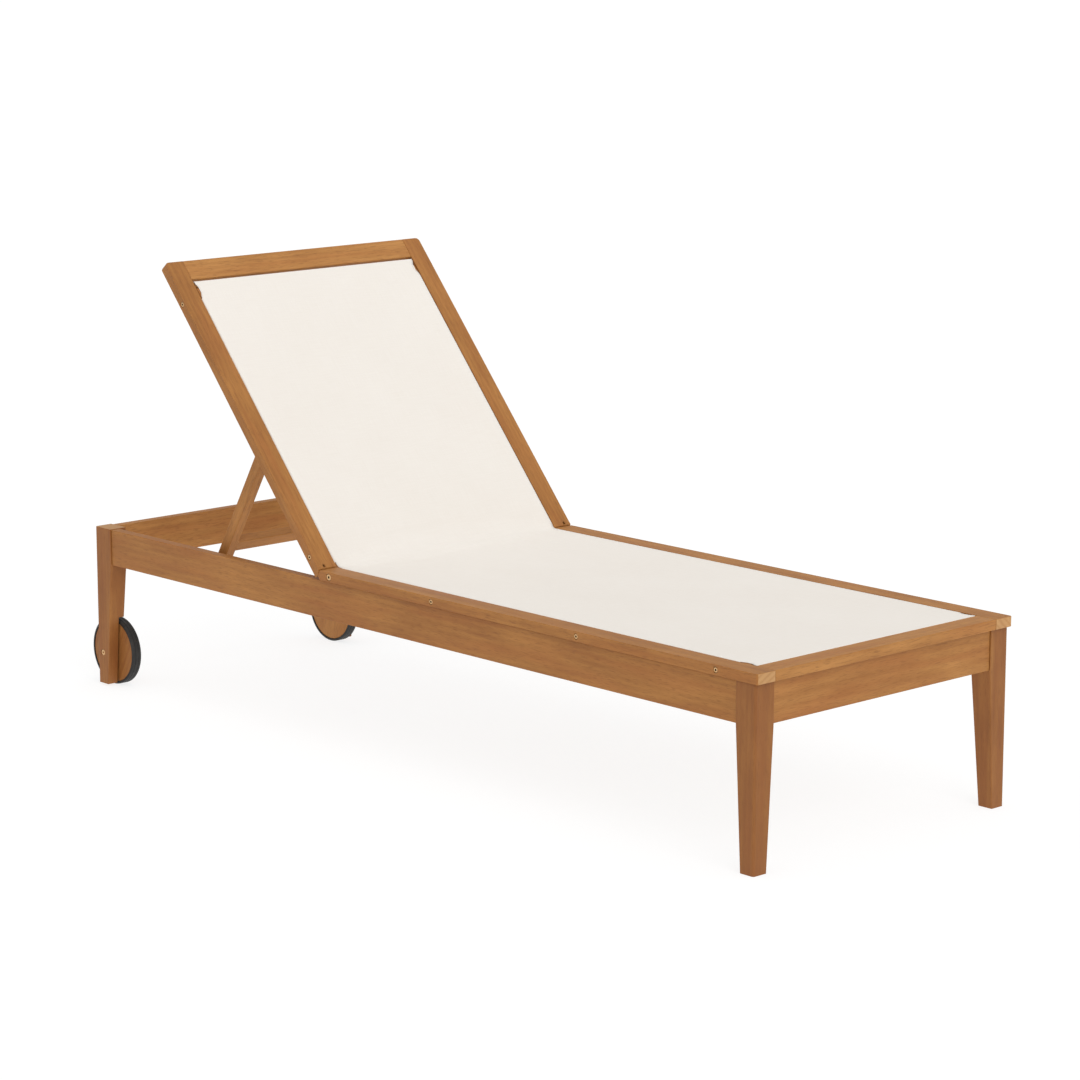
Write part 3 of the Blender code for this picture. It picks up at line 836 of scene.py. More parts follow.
# ---------------------------------------------------------------- hardware
@dataclass
class SocketScrew:
    """A countersunk furniture screw with a hexagon socket, set just under the wood's face."""

    maker: Maker
    head: float = 4.8 * MM
    socket: float = 2.1 * MM
    set_in: float = 0.6 * MM
    socket_depth: float = 2.6 * MM
    rim: float = 0.9 * MM           # depth of the head's rim, above its cone
    shank: float = 2.2 * MM
    length: float = 28 * MM
    clearance: float = 1.1 * MM     # dark line between the head and the wood
    well_depth: float = 7 * MM

    def fit(self, name: str, centre: Sequence[float], side: float, outer: float, body: str,
            nodes: Iterable[str], frame_of: Matrix | None = None) -> bpy.types.Object:
        """Put one screw in place.

        Args:
            name: Name of the screw.
            centre: Its (x, z) in the board's own axes.
            side: -1 for the near side, +1 for the far side.
            outer: Distance of the wood's face from the middle.
            body: Body that it moves with.
            nodes: CAD nodes that it stands for.
            frame_of: Where the board's own axes lie.

        Returns:
            The screw.
        """
        top = outer - self.set_in
        floor = top - self.socket_depth
        rim = top - self.rim
        profile = [(0, floor), (self.socket, floor, 6), (self.socket, top - 0.35 * MM, 6),
                   (self.socket * 1.16, top, 6), (self.head - 0.8 * MM, top),
                   (self.head - 0.25 * MM, top - 0.12 * MM), (self.head, top - 0.5 * MM), (self.head, rim),
                   (self.shank, rim - (self.head - self.shank)), (self.shank, top - self.length),
                   (0, top - self.length - 2 * MM)]
        mesh = mesh_of(name, turned(profile, SCREW_STEPS, along=Vector((0, side, 0))), sharp=SCREW_SHARP)
        place = (frame_of or Matrix.Identity(4)) @ Matrix.Translation((centre[0], 0, centre[1]))
        piece = self.maker.place(name, mesh, self.maker.finishes.brass, body, "brassed_steel", nodes, place)
        mesh.materials.append(self.maker.finishes.socket_tarnish_and_shade)
        # Faces inside the socket take the dark socket material: tarnished metal, and painted shade in the
        # recess.
        for polygon in mesh.polygons:
            middle = polygon.center
            in_socket = math.hypot(middle.x, middle.z) < self.socket and abs(middle.y) > floor - MM
            polygon.material_index = int(in_socket)
        return piece

    def well(self, centre: Sequence[float], side: float, outer: float) -> bmesh.types.BMesh:
        """Cut the hole that the head sits in; centre, side and outer are those of fit."""
        return hole(self.head + self.clearance, centre, side, outer, self.well_depth)


@dataclass(frozen=True)
class HingeSlot:
    """The slot across a seat rail's end and a back rail's end that takes the hinge plates."""

    inner: float = 0.3306           # its two faces, from the middle
    outer: float = 0.3360
    length: float = 0.053           # into each rail, from the hinge's axis
    overrun: float = 0.012          # past the rail's end, so that the cut is clean
    half_height: float = 6.6 * MM

    def cutter(self, side: float, x_low: float, x_high: float, z_low: float,
               z_high: float) -> bmesh.types.BMesh:
        """Cut the slot's width on one side, between two lengths and two heights."""
        y_low, y_high = sorted((side * self.inner, side * self.outer))
        return block((x_low, y_low, z_low), (x_high, y_high, z_high))


# ---------------------------------------------------------------- base
@dataclass
class Base:
    """Four legs, four rails, a stretcher and the racks that hold the prop."""

    maker: Maker
    corner: float = 5 * MM          # rounding of the legs' outer corner
    arris: float = 1.6 * MM         # and of their other corners
    knee: float = 0.275             # height at which the legs start to taper
    foot: float = 34 * MM           # square of a foot at the floor
    cheek: float = 0.323            # inner face of the rear leg beside the wheel
    rebate_from: float = 0.25       # the rebate's cutter starts inside the leg's inner face
    shoulder: float = 0.1535        # top of the wheel's rebate
    bolt_hole: float = 6.9 * MM     # radius of the hole for the axle bolt's head, and its depth
    bolt_hole_depth: float = 5 * MM
    leg_ease: float = 1.0 * MM
    rail_ease: float = 1.2 * MM
    shadow_gap: float = 1.0 * MM    # from the rails' upper faces to the seat, seen as a dark line

    def build(self) -> None:
        """Make every piece of the base."""
        for label, side in SIDES:
            self._leg(f"front_leg_{label}", side, inward=-1.0)
            self._leg(f"rear_leg_{label}", side, inward=1.0)
            self._rail(f"base_side_rail_{label}", Grain.ALONG_X)
            self.maker.refinish(f"prop_rack_{label}", self.maker.finishes.wood[Grain.ALONG_X])
        for name in ("base_foot_rail", "base_head_rail", "base_stretcher"):
            self._rail(name, Grain.ALONG_Y)

    def _rail(self, name: str, grain: Grain) -> None:
        """Make a straight rail with eased edges, in the place of its CAD node.

        Args:
            name: Name of the CAD node.
            grain: The axis that the grain follows.
        """
        low, high = (Vector(corner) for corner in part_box(name))
        high.z -= self.shadow_gap
        self.maker.board(f"{name}_oiled", block(low, high), grain, "base", [name], ease=self.rail_ease)

    def _plan(self, side: float, inward: float, outer: Vector, size: tuple[float, float],
              z: float) -> list[Vector]:
        """Draw a leg's level section, with its outer corner rounded more than the others.

        Args:
            side: -1 for the near side, +1 for the far side.
            inward: Direction along X from the outer corner into the leg, -1 or +1.
            outer: The outer corner.
            size: Length along X and width along Y.
            z: Height of the section.

        Returns:
            Points round the section.
        """
        x_low, x_high = sorted((outer.x, outer.x + inward * size[0]))
        y_low, y_high = sorted((outer.y, outer.y - side * size[1]))
        corners = ((x_low, y_low), (x_high, y_low), (x_high, y_high), (x_low, y_high))
        radii = [self.corner if abs(y - outer.y) < MM and abs(x - outer.x) < MM else self.arris
                 for x, y in corners]
        return rounded_plan(x_low, x_high, y_low, y_high, z, radii)

    def _leg(self, name: str, side: float, inward: float) -> None:
        """Make a leg that tapers on its two inner faces below the rails.

        Args:
            name: Name of the CAD node.
            side: -1 for the near side, +1 for the far side.
            inward: Direction along X into the leg from its outer corner; +1 at the head end.
        """
        low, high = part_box(name)
        outer = Vector((low[0] if inward > 0 else high[0], low[1] if side < 0 else high[1], 0.0))
        top = (high[0] - low[0], high[1] - low[1])
        share = low[2] / self.knee
        bottom = tuple(self.foot + (size - self.foot) * share for size in top)
        sections = [self._plan(side, inward, outer, size, z)
                    for size, z in ((bottom, low[2]), (top, self.knee), (top, high[2]))]
        holes = []
        if inward > 0:
            past = 0.05             # the cutter runs past the leg on all its open sides
            y_low, y_high = sorted((side * self.cheek, side * self.rebate_from))
            holes.append(block((low[0] - past, y_low, -past), (high[0] + past, y_high, self.shoulder)))
            x, _, z = JOINTS[f"wheel_{'near' if side < 0 else 'far'}_roll"]["pos_m"]
            holes.append(hole(self.bolt_hole, (x, z), side, abs(outer.y), self.bolt_hole_depth))
        # Legs take the dimmer copy of the wood, painted shade.
        self.maker.board(f"{name}_oiled", loft(sections), Grain.ALONG_Z, "base", [name], ease=self.leg_ease,
                         holes=holes)


# ---------------------------------------------------------------- wheels
@dataclass
class Wheels:
    """A turned wooden disc with a rubber band, a bush, an axle bolt and its nut, on each side."""

    maker: Maker
    tyre: float = 5.0 * MM          # depth of the band
    bush: float = 6.5 * MM          # radius of the bush
    steps: int = 96
    recess: float = 0.8 * MM        # disc's faces below the tyre's
    disc_ease: float = 2.2 * MM
    tyre_ease: float = 1.8 * MM
    groove_at: float = 4 * MM       # from the middle of the tread
    groove_depth: float = 0.7 * MM

    def build(self) -> None:
        """Make both wheels."""
        for label, side in SIDES:
            centre = Vector(JOINTS[f"wheel_{label}_roll"]["pos_m"])
            place = Matrix.Translation((centre.x, 0.0, centre.z))
            low, high = sorted(abs(corner[1]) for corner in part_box(f"tyre_{label}"))
            self._disc(label, side, centre.z, low, high, place)
            self._tyre(label, side, centre.z, low, high, place)
            self._axle(label, side, place)
            for node in (f"wheel_bush_{label}", f"axle_nut_{label}"):
                self.maker.refinish(node, self.maker.finishes.zinc)

    def _disc(self, label: str, side: float, radius: float, low: float, high: float, place: Matrix) -> None:
        """Make the wooden disc, eased at its rim.

        Args:
            label: near or far.
            side: -1 for the near side, +1 for the far side.
            radius: Radius of the whole wheel.
            low: Distance of the tyre's inner face from the middle of the lounger.
            high: Distance of its outer face.
            place: The wheel's own axes.
        """
        rim = radius - self.tyre - 0.2 * MM
        face, back = high - self.recess, low + self.recess
        bore = self.bush + 0.3 * MM
        ease, flat = self.disc_ease, bore + 3 * MM
        outer_edge = [(rim - ease + x, face - ease + z) for x, z in arc((0, 0), ease, 90, 0, 4)]
        inner_edge = [(rim - ease + x, back + ease + z) for x, z in arc((0, 0), ease, 0, -90, 4)]
        profile = [(bore, face), (flat, face), *outer_edge, *inner_edge, (flat, back), (bore, back)]
        shape = turned(profile, self.steps, ring=True, along=Vector((0, side, 0)))
        # The near disc takes the dimmer copy of the wood, painted shade.
        grain = Grain.ACROSS_NEAR_DISC if side < 0 else Grain.ACROSS_FAR_DISC
        name = f"wheel_disc_{label}_turned"
        self.maker.place(name, mesh_of(name, shape, sharp=DISC_SHARP), self.maker.finishes.wood[grain],
                         f"wheel_{label}", "oiled_hardwood", [f"wheel_disc_{label}"], place)

    def _tyre(self, label: str, side: float, radius: float, low: float, high: float, place: Matrix) -> None:
        """Make the rubber band, with rounded shoulders and a shallow groove each side of its middle.

        Args:
            label: near or far.
            side: -1 for the near side, +1 for the far side.
            radius: Radius of the whole wheel.
            low: Distance of the tyre's inner face from the middle of the lounger.
            high: Distance of its outer face.
            place: The wheel's own axes.
        """
        inner, ease = radius - self.tyre, self.tyre_ease
        outer_side = [(radius - ease + x, high - ease + z) for x, z in arc((0, 0), ease, 90, 0, 4)]
        inner_side = [(radius - ease + x, low + ease + z) for x, z in arc((0, 0), ease, 0, -90, 4)]
        grooves = []
        middle, bottom = (low + high) / 2, radius - self.groove_depth
        for at in (middle + self.groove_at, middle - self.groove_at):
            grooves += [(radius, at + 0.8 * MM), (bottom, at + 0.3 * MM), (bottom, at - 0.3 * MM),
                        (radius, at - 0.8 * MM)]
        profile = [(inner, high), *outer_side, *grooves, *inner_side, (inner, low)]
        shape = turned(profile, self.steps, ring=True, along=Vector((0, side, 0)))
        name = f"tyre_{label}_band"
        self.maker.place(name, mesh_of(name, shape, sharp=DISC_SHARP), self.maker.finishes.rubber,
                         f"wheel_{label}", "black_rubber", [f"tyre_{label}"], place)

    def _axle(self, label: str, side: float, place: Matrix) -> None:
        """Make the axle bolt, with a socket in its head.

        Args:
            label: near or far.
            side: -1 for the near side, +1 for the far side.
            place: The wheel's own axes.
        """
        inner, outer = sorted(abs(corner[1]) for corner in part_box(f"axle_bolt_{label}"))
        head, socket, shank = 6.5 * MM, 2.4 * MM, 4 * MM
        profile = [(0, outer - 2.8 * MM), (socket, outer - 2.8 * MM, 6), (socket, outer - 0.3 * MM, 6),
                   (2.8 * MM, outer, 6), (5.6 * MM, outer), (6.2 * MM, outer - 0.25 * MM),
                   (head, outer - 0.8 * MM), (head, outer - 2.4 * MM), (shank, outer - 4.9 * MM),
                   (shank, inner + 0.6 * MM), (3.4 * MM, inner), (0, inner)]
        shape = turned(profile, SCREW_STEPS, along=Vector((0, side, 0)))
        name = f"axle_bolt_{label}_headed"
        self.maker.place(name, mesh_of(name, shape, sharp=SCREW_SHARP), self.maker.finishes.brass, "base",
                         "brassed_steel", [f"axle_bolt_{label}"], place)


# ---------------------------------------------------------------- seat frame
@dataclass
class SeatFrame:
    """Two side rails, a foot rail, the screws in their outer faces and the hinge bolts."""

    maker: Maker
    end_top: float = 5.4 * MM       # how far a rail's end leans away from the hinge at its top
    end_foot: float = 9 * MM        # rounding of its lower corner
    end_gap: float = 0.3 * MM       # from the hinge's axis to its end
    corner: float = 4 * MM          # rounding of its outer corner at the foot end
    ease: float = 0.9 * MM
    slot: HingeSlot = field(default_factory=HingeSlot)

    def build(self) -> None:
        """Make every piece of the seat frame."""
        screw = SocketScrew(self.maker)
        bolt = SocketScrew(self.maker, head=6.5 * MM, socket=2.6 * MM, shank=3.4 * MM)
        for label, side in SIDES:
            node = f"seat_side_rail_{label}"
            low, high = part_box(node)
            outer = max(abs(low[1]), abs(high[1]))
            wells = []
            for number in (1, 2, 3):
                fixing = f"seat_screw_{label}_{number}"
                centre = self._centre(fixing)
                wells.append(screw.well(centre, side, outer))
                screw.fit(f"{fixing}_socket", centre, side, outer, "base", [fixing])
            fixing = f"hinge_bolt_{label}"
            wells.append(bolt.well(self._centre(fixing), side, outer))
            bolt.fit(f"{fixing}_socket", self._centre(fixing), side, outer, "base", [fixing])
            slot = self.slot
            wells.append(slot.cutter(side, HINGE.x - slot.overrun, HINGE.x + slot.length,
                                     HINGE.z - slot.half_height, HINGE.z + slot.half_height))
            self.maker.board(f"{node}_oiled", self._side_rail(low, high, side), Grain.ALONG_X, "base", [node],
                             ease=self.ease, holes=wells)
        low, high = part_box("seat_foot_rail")
        self.maker.board("seat_foot_rail_oiled", block(low, high), Grain.ALONG_Y, "base", ["seat_foot_rail"])

    @staticmethod
    def _centre(node: str) -> tuple[float, float]:
        """Find the middle of a CAD node in the side view, as (x, z)."""
        low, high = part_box(node)
        return (low[0] + high[0]) / 2, (low[2] + high[2]) / 2

    def _side_rail(self, low: Sequence[float], high: Sequence[float], side: float) -> bmesh.types.BMesh:
        """Make a side rail: rounded at its foot corner, leaning and rounded at its hinge end.

        Args:
            low: Lowest corner of its CAD node.
            high: Highest corner.
            side: -1 for the near side, +1 for the far side.

        Returns:
            The rail, with sharp long edges.
        """
        x = HINGE.x + self.end_gap
        outline = [(high[0], low[2]), (high[0], high[2]), (x + self.end_top, high[2]), (x, HINGE.z)]
        outline += [(x + self.end_foot * (1 - math.cos(turn)), HINGE.z - (HINGE.z - low[2]) * math.sin(turn))
                    for turn in (math.pi / 2 * step / 6 for step in range(1, 7))]
        shape = prism(outline, low[1], high[1])
        round_upright(shape, high[0], side, max(abs(low[1]), abs(high[1])), self.corner, 5)
        return shape


# ---------------------------------------------------------------- backrest
@dataclass
class Backrest:
    """Two side rails, a top rail, screws, cleats and pivot bolts, built lying flat about the hinge."""

    maker: Maker
    length: float = 0.770
    thick: float = 20.5 * MM
    width: float = 0.0465
    top_width: float = 0.0475
    outer: float = 0.350
    corner: float = 9 * MM          # rounding of its top outer corners
    end_front: float = 7 * MM       # how far a rail's hinge end leans back at its front
    end_gap: float = 0.3 * MM
    ease: float = 0.9 * MM
    screws: tuple[float, float] = (0.0424, 0.6699)          # up the rail from the hinge
    opening: tuple[float, float] = (0.0095, 0.0165)         # of the slot in the rail's front face
    slot: HingeSlot = field(default_factory=HingeSlot)

    def build(self) -> None:
        """Make every piece of the backrest but its sling."""
        half = self.thick / 2
        inner = self.outer - self.width
        screw = SocketScrew(self.maker)
        for label, side in SIDES:
            wells = []
            for number, along in enumerate(self.screws, 1):
                fixing = f"back_screw_{label}_{number}"
                wells.append(screw.well((-along, 0.0), side, self.outer))
                screw.fit(f"{fixing}_socket", (-along, 0.0), side, self.outer, "backrest", [fixing],
                          self.maker.hinge)
            wells += self._slots(side)
            node = f"back_side_rail_{label}"
            self.maker.board(f"{node}_oiled", self._side_rail(side, inner, half), Grain.ALONG_X, "backrest",
                             [node], self.maker.hinge, ease=self.ease, holes=wells)
            self.maker.refinish(f"prop_cleat_{label}", self.maker.finishes.wood[Grain.ALONG_X])
            self.maker.refinish(f"prop_bolt_{label}", self.maker.finishes.brass)
        reach = inner - self.end_gap
        shape = block((-self.length, -reach, -half), (-self.length + self.top_width, reach, half))
        self.maker.board("back_top_rail_oiled", shape, Grain.ALONG_Y, "backrest", ["back_top_rail"],
                         self.maker.hinge)

    def _side_rail(self, side: float, inner: float, half: float) -> bmesh.types.BMesh:
        """Make a side rail: rounded at its top outer corner, leaning at the front of its hinge end.

        Args:
            side: -1 for the near side, +1 for the far side.
            inner: Distance of its inner face from the middle.
            half: Half its thickness.

        Returns:
            The rail, with sharp long edges.
        """
        low, high = sorted((side * inner, side * self.outer))
        end = -self.end_gap
        outline = [(-self.length, half), (-self.length, -half), (end, -half), (end, 0.0),
                   (end - self.end_front, half)]
        shape = prism(outline, low, high)
        round_upright(shape, -self.length, side, self.outer, self.corner, 6)
        return shape

    def _slots(self, side: float) -> list[bmesh.types.BMesh]:
        """Cut the slot that takes the hinge plates, and its short opening in the front face.

        Args:
            side: -1 for the near side, +1 for the far side.

        Returns:
            The two cutters.
        """
        slot, (near_end, far_end) = self.slot, self.opening
        return [slot.cutter(side, -slot.length, slot.overrun, -slot.half_height, slot.half_height),
                slot.cutter(side, -far_end, -near_end, 0.0, 15 * MM)]


# ---------------------------------------------------------------- prop
@dataclass
class Prop:
    """The H-shaped prop: two round-ended struts, a crossbar and the pins that the racks hold."""

    maker: Maker
    width: float = 24.5 * MM
    foot_pin: float = 6.5 * MM
    pivot_pin: float = 4 * MM
    clearance: float = 0.3 * MM     # round a pin
    length: float = 0.33447         # from pivot to foot pin
    crossbar: tuple[float, float] = (24.3 * MM, 21.7 * MM)      # its width and thickness
    crossbar_ease: float = 1.8 * MM

    def build(self) -> None:
        """Make every piece of the prop."""
        foot = self._middle("prop_foot_pin_near")
        down = foot - PIVOT
        place = set_at(PIVOT, math.atan2(down.z, -down.x))
        half = self.width / 2
        for label, side in SIDES:
            low, high = (value[1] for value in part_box(f"prop_strut_{label}"))
            outline = arc((0.0, 0.0), half, -90, 90, 12) + arc((-self.length, 0.0), half, 90, 270, 12)
            holes = [self._bore(x, radius + self.clearance, low, high)
                     for x, radius in ((0.0, self.pivot_pin), (-self.length, self.foot_pin))]
            self.maker.board(f"prop_strut_{label}_oiled", prism(outline, low, high), Grain.ALONG_X, "prop",
                             [f"prop_strut_{label}"], place, holes=holes)
            self._foot_pin(label, side, foot)
        middle = self._middle("prop_crossbar")
        along = -(Vector((middle.x, 0, middle.z)) - Vector((PIVOT.x, 0, PIVOT.z))).length
        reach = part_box("prop_crossbar")[1][1]
        wide, deep = (size / 2 for size in self.crossbar)
        shape = block((along - wide, -reach, -deep), (along + wide, reach, deep))
        self.maker.board("prop_crossbar_oiled", shape, Grain.ALONG_Y, "prop", ["prop_crossbar"], place,
                         ease=self.crossbar_ease)

    @staticmethod
    def _middle(node: str) -> Vector:
        """Find the middle of a CAD node's box."""
        low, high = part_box(node)
        return (Vector(low) + Vector(high)) / 2

    def _foot_pin(self, label: str, side: float, foot: Vector) -> None:
        """Make the short steel pin through a strut's foot, chamfered at both ends.

        Args:
            label: near or far.
            side: -1 for the near side, +1 for the far side.
            foot: A point on the pins' axis.
        """
        node = f"prop_foot_pin_{label}"
        low, high = sorted(abs(value[1]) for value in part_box(node))
        end = 1.0 * MM
        radius = self.foot_pin
        profile = [(0, high), (radius - end, high), (radius, high - end), (radius, low + end),
                   (radius - end, low), (0, low)]
        shape = turned(profile, HOLE_STEPS, along=Vector((0, side, 0)))
        name = f"{node}_plated"
        self.maker.place(name, mesh_of(name, shape, sharp=SCREW_SHARP), self.maker.finishes.zinc, "prop",
                         "zinc_plated_steel", [node], Matrix.Translation((foot.x, 0.0, foot.z)))

    @staticmethod
    def _bore(x: float, radius: float, low: float, high: float) -> bmesh.types.BMesh:
        """Cut a hole right through a strut.

        Args:
            x: Its place along the strut.
            radius: Its radius.
            low: One face of the strut.
            high: The other face.

        Returns:
            The cutter.
        """
        past = 0.01
        profile = [(0, low - past), (radius, low - past), (radius, high + past), (0, high + past)]
        shape = turned(profile, HOLE_STEPS)
        bmesh.ops.translate(shape, vec=(x, 0, 0), verts=shape.verts)
        return shape


# ---------------------------------------------------------------- sling
@dataclass
class Sling:
    """One sheet from the foot rail to the top of the back, wrapped round battens on all sides.

    Its corners are cut out so that the side and end wraps can fold, and its sides are notched
    at the hinge. Between the battens it bends freely, so its bend is rounder in the middle.
    """

    maker: Maker
    half_width: float = 0.3022
    lift: float = 10.0 * MM             # its upper face above the frames' mid-thickness
    thick: float = 0.9 * MM
    foot_end: float = 0.9795
    top_end: float = 0.7175             # up the back from the hinge
    sag: float = 4.0 * MM
    sag_ramp: float = 0.25              # from an end to where the sag is whole
    bend_sag: float = 0.35              # share of the sag that is left at the bend
    bend_edge: float = 4 * MM           # from the hinge to where the bend starts, at the sides
    bend_middle: float = 58 * MM        # and in the middle
    blend_reach: float = 30 * MM        # from the hinge to where the cloth follows only one frame
    fold: float = 1.8 * MM              # radius of the fabric over a batten's corner
    wrap_down: float = 14 * MM
    wrap_under: float = 15 * MM
    wrap_columns: int = 12              # lengthwise threads drawn on each side wrap
    cut_out: float = 40 * MM            # corner cut-out along the sides
    inset: float = 4.0 * MM             # and how far its edge pulls in
    hinge_notch: float = 12 * MM        # from the crease to the end of the notch at the hinge
    notch_inset: float = 0.6 * MM
    columns: int = 76
    step: float = 7 * MM                # between the cross-threads drawn on the flat parts
    close_step: float = 1.5 * MM        # and near the bend and the ends
    close_within: float = 0.045
    middle_step: float = 3.5 * MM       # and in between
    middle_within: float = 0.120
    batten: float = 13 * MM             # width of a batten
    batten_end: float = 17 * MM         # from a side batten's end to the end of the sheet
    batten_gap: float = 0.35 * MM       # from the cloth to a batten's side
    batten_hinge: float = 20 * MM       # from a side batten's end to the hinge
    batten_ease: float = 0.8 * MM

    def build(self) -> bpy.types.Object:
        """Make the sheet and the battens inside its wraps.

        Returns:
            The sheet.
        """
        stations = self._stations()
        mesh = mesh_of("woven_sling_sheet", self._sheet(stations))
        mesh.shade_smooth()
        if mesh.polygons[len(mesh.polygons) // 2].normal.z < 0:
            mesh.flip_normals()
        sheet = put_in_scene("woven_sling_sheet", mesh)
        mesh.materials.append(self.maker.finishes.fabric)
        body = sheet.modifiers.new("cloth_thickness", "SOLIDIFY")
        body.thickness = self.thick
        body.offset = -1.0
        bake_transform(sheet)
        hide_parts("seat_sling", "back_sling")
        self._battens()
        return sheet

    def _sheet(self, stations: Sequence[tuple[float, str]]) -> bmesh.types.BMesh:
        """Draw the sheet's threads as one grid, with its cut-outs and notches left out.

        Args:
            stations: The rows.

        Returns:
            The sheet, with its flat place in metres as UVs.
        """
        shape = bmesh.new()
        cloth = shape.loops.layers.uv.new("cloth")
        rows = []
        for station in stations:
            row = {}
            for column in self._columns(station):
                point, measured = self._point(station, column)
                row[column] = (shape.verts.new(point), measured)
            rows.append(row)
        for first, second in zip(rows, rows[1:]):
            shared = sorted(set(first) & set(second))
            for left, right in zip(shared, shared[1:]):
                if right - left > 1:
                    continue
                corners = [first[left], first[right], second[right], second[left]]
                face = shape.faces.new([corner[0] for corner in corners])
                for loop, corner in zip(face.loops, corners):
                    loop[cloth].uv = corner[1]
        loose = [vertex for vertex in shape.verts if not vertex.link_faces]
        bmesh.ops.delete(shape, geom=loose, context="VERTS")
        bmesh.ops.recalc_face_normals(shape, faces=shape.faces)
        return shape

    @staticmethod
    def _up(along: float) -> Vector:
        """The way up the back from the hinge, as long as along."""
        return Vector((-math.cos(BACK_ANGLE) * along, 0.0, math.sin(BACK_ANGLE) * along))

    def _stations(self) -> list[tuple[float, str]]:
        """Where the sheet's cross-threads are drawn.

        Returns:
            For each row its length along the cloth from the crease, towards the head, and its
            part: foot_wrap, body or top_wrap.
        """
        foot, top = self._foot_mark(), self._top_mark()
        end_wrap = self.wrap_down + self.wrap_under
        marks = [foot - end_wrap]
        while marks[-1] < top + end_wrap:
            nearest = min(abs(marks[-1]), abs(marks[-1] - foot), abs(marks[-1] - top))
            step = self.middle_step if nearest < self.middle_within else self.step
            marks.append(marks[-1] + (self.close_step if nearest < self.close_within else step))
        return [(mark, "foot_wrap" if mark < foot else "top_wrap" if mark > top else "body")
                for mark in marks]

    def _columns(self, station: tuple[float, str]) -> list[int]:
        """Number the lengthwise threads that cross a row.

        Args:
            station: The row.

        Returns:
            Numbers from side to side, 0 in the middle; those beyond half of columns are side wraps.
        """
        mark, part = station
        reach = self.columns // 2
        if part == "body" and self._from_end(mark) >= self.cut_out and abs(mark) >= self.hinge_notch:
            reach += self.wrap_columns
        return list(range(-reach, reach + 1))

    def _from_end(self, mark: float) -> float:
        """Distance along the cloth to the nearer end of the sheet's upper face."""
        return min(abs(mark - self._foot_mark()), abs(self._top_mark() - mark))

    def _half_at(self, mark: float, part: str) -> float:
        """Find half the width of the sheet's upper face, less at the cut-outs and the notches.

        Args:
            mark: Length along the cloth from the crease.
            part: Part of the sheet that the row is in.

        Returns:
            Half the width.
        """
        if part != "body":
            return self.half_width - 0.3 * MM
        away = self._from_end(mark)
        pulled = self._step(away, 3 * MM, 15 * MM)
        corner = pulled * (1 - self._step(away, self.cut_out - 14 * MM, self.cut_out))
        notch = 1 - self._step(abs(mark), self.hinge_notch - 9 * MM, self.hinge_notch)
        return self.half_width - self.inset * corner - self.notch_inset * notch

    @staticmethod
    def _step(value: float, low: float, high: float) -> float:
        """Step smoothly from 0 at low to 1 at high."""
        share = min(1.0, max(0.0, (value - low) / (high - low)))
        return share * share * (3 - 2 * share)

    def _wrap(self, run: float) -> tuple[float, float]:
        """Run the cloth over a batten's corner, down its side and under it.

        Args:
            run: Length of cloth from the start of the corner.

        Returns:
            How far out from the start of the corner it has come, and how far down.
        """
        fold = self.fold
        quarter = fold * math.pi / 2
        if run < quarter:
            turn = run / fold
            return fold * math.sin(turn), fold * (1 - math.cos(turn))
        run -= quarter
        straight = self.wrap_down - 2 * fold
        if run < straight:
            return fold, fold + run
        run -= straight
        if run < quarter:
            turn = run / fold
            return fold * math.cos(turn), fold + straight + fold * math.sin(turn)
        return quarter - run, self.wrap_down

    def _point(self, station: tuple[float, str], column: int) -> tuple[Vector, tuple[float, float]]:
        """One point of the sheet.

        Args:
            station: The row.
            column: The lengthwise thread.

        Returns:
            The point in the frame's axes, and its place in the flat cloth in metres.
        """
        mark, part = station
        half = self.columns // 2
        flat_half = self._half_at(mark, part) - self.fold
        edge = max(-1.0, min(1.0, column / half))
        across = edge * flat_half
        down = 0.0
        measured = edge * self.half_width
        if abs(column) > half:
            run = (abs(column) - half) / self.wrap_columns * (self.wrap_down + self.wrap_under)
            outwards, down = self._wrap(run)
            across += math.copysign(outwards, column)
            measured += math.copysign(run, column)
        elif part == "body":
            off_ends = self._step(self._from_end(mark), 0.0, self.sag_ramp)
            off_bend = self.bend_sag + (1 - self.bend_sag) * self._step(abs(mark), 0.05, 0.3)
            down = self.sag * (1 - edge ** 2) * off_ends * off_bend
            down += self._ripple(mark, across) * (1 - edge ** 8)
        position, normal = self._line(mark, part, across)
        point = position - normal * down
        return Vector((point.x, across, point.z)), (measured, mark)

    def _ripple(self, mark: float, across: float) -> float:
        """Ripple the cloth near the bend, and leave it very slightly slack elsewhere.

        Args:
            mark: Length along the cloth from the crease.
            across: Distance from its middle line.

        Returns:
            How far the cloth lies below its even face.
        """
        near_bend = math.exp(-(mark / 0.075) ** 2)
        about_bend = math.exp(-(mark / 0.16) ** 2)
        waves = noise.noise(Vector((across * 2.2, mark * 30, 0.3)))
        waves += 0.6 * noise.noise(Vector((across * 5, mark * 62, 4.1)))
        slack = noise.noise(Vector((across * 5, mark * 4, 9.7)))
        pull = noise.noise(Vector((across * 9 - abs(mark) * 14, abs(mark) * 3, 2.6))) * about_bend
        return waves * 1.8 * MM * near_bend + pull * 1.6 * MM + slack * 0.8 * MM

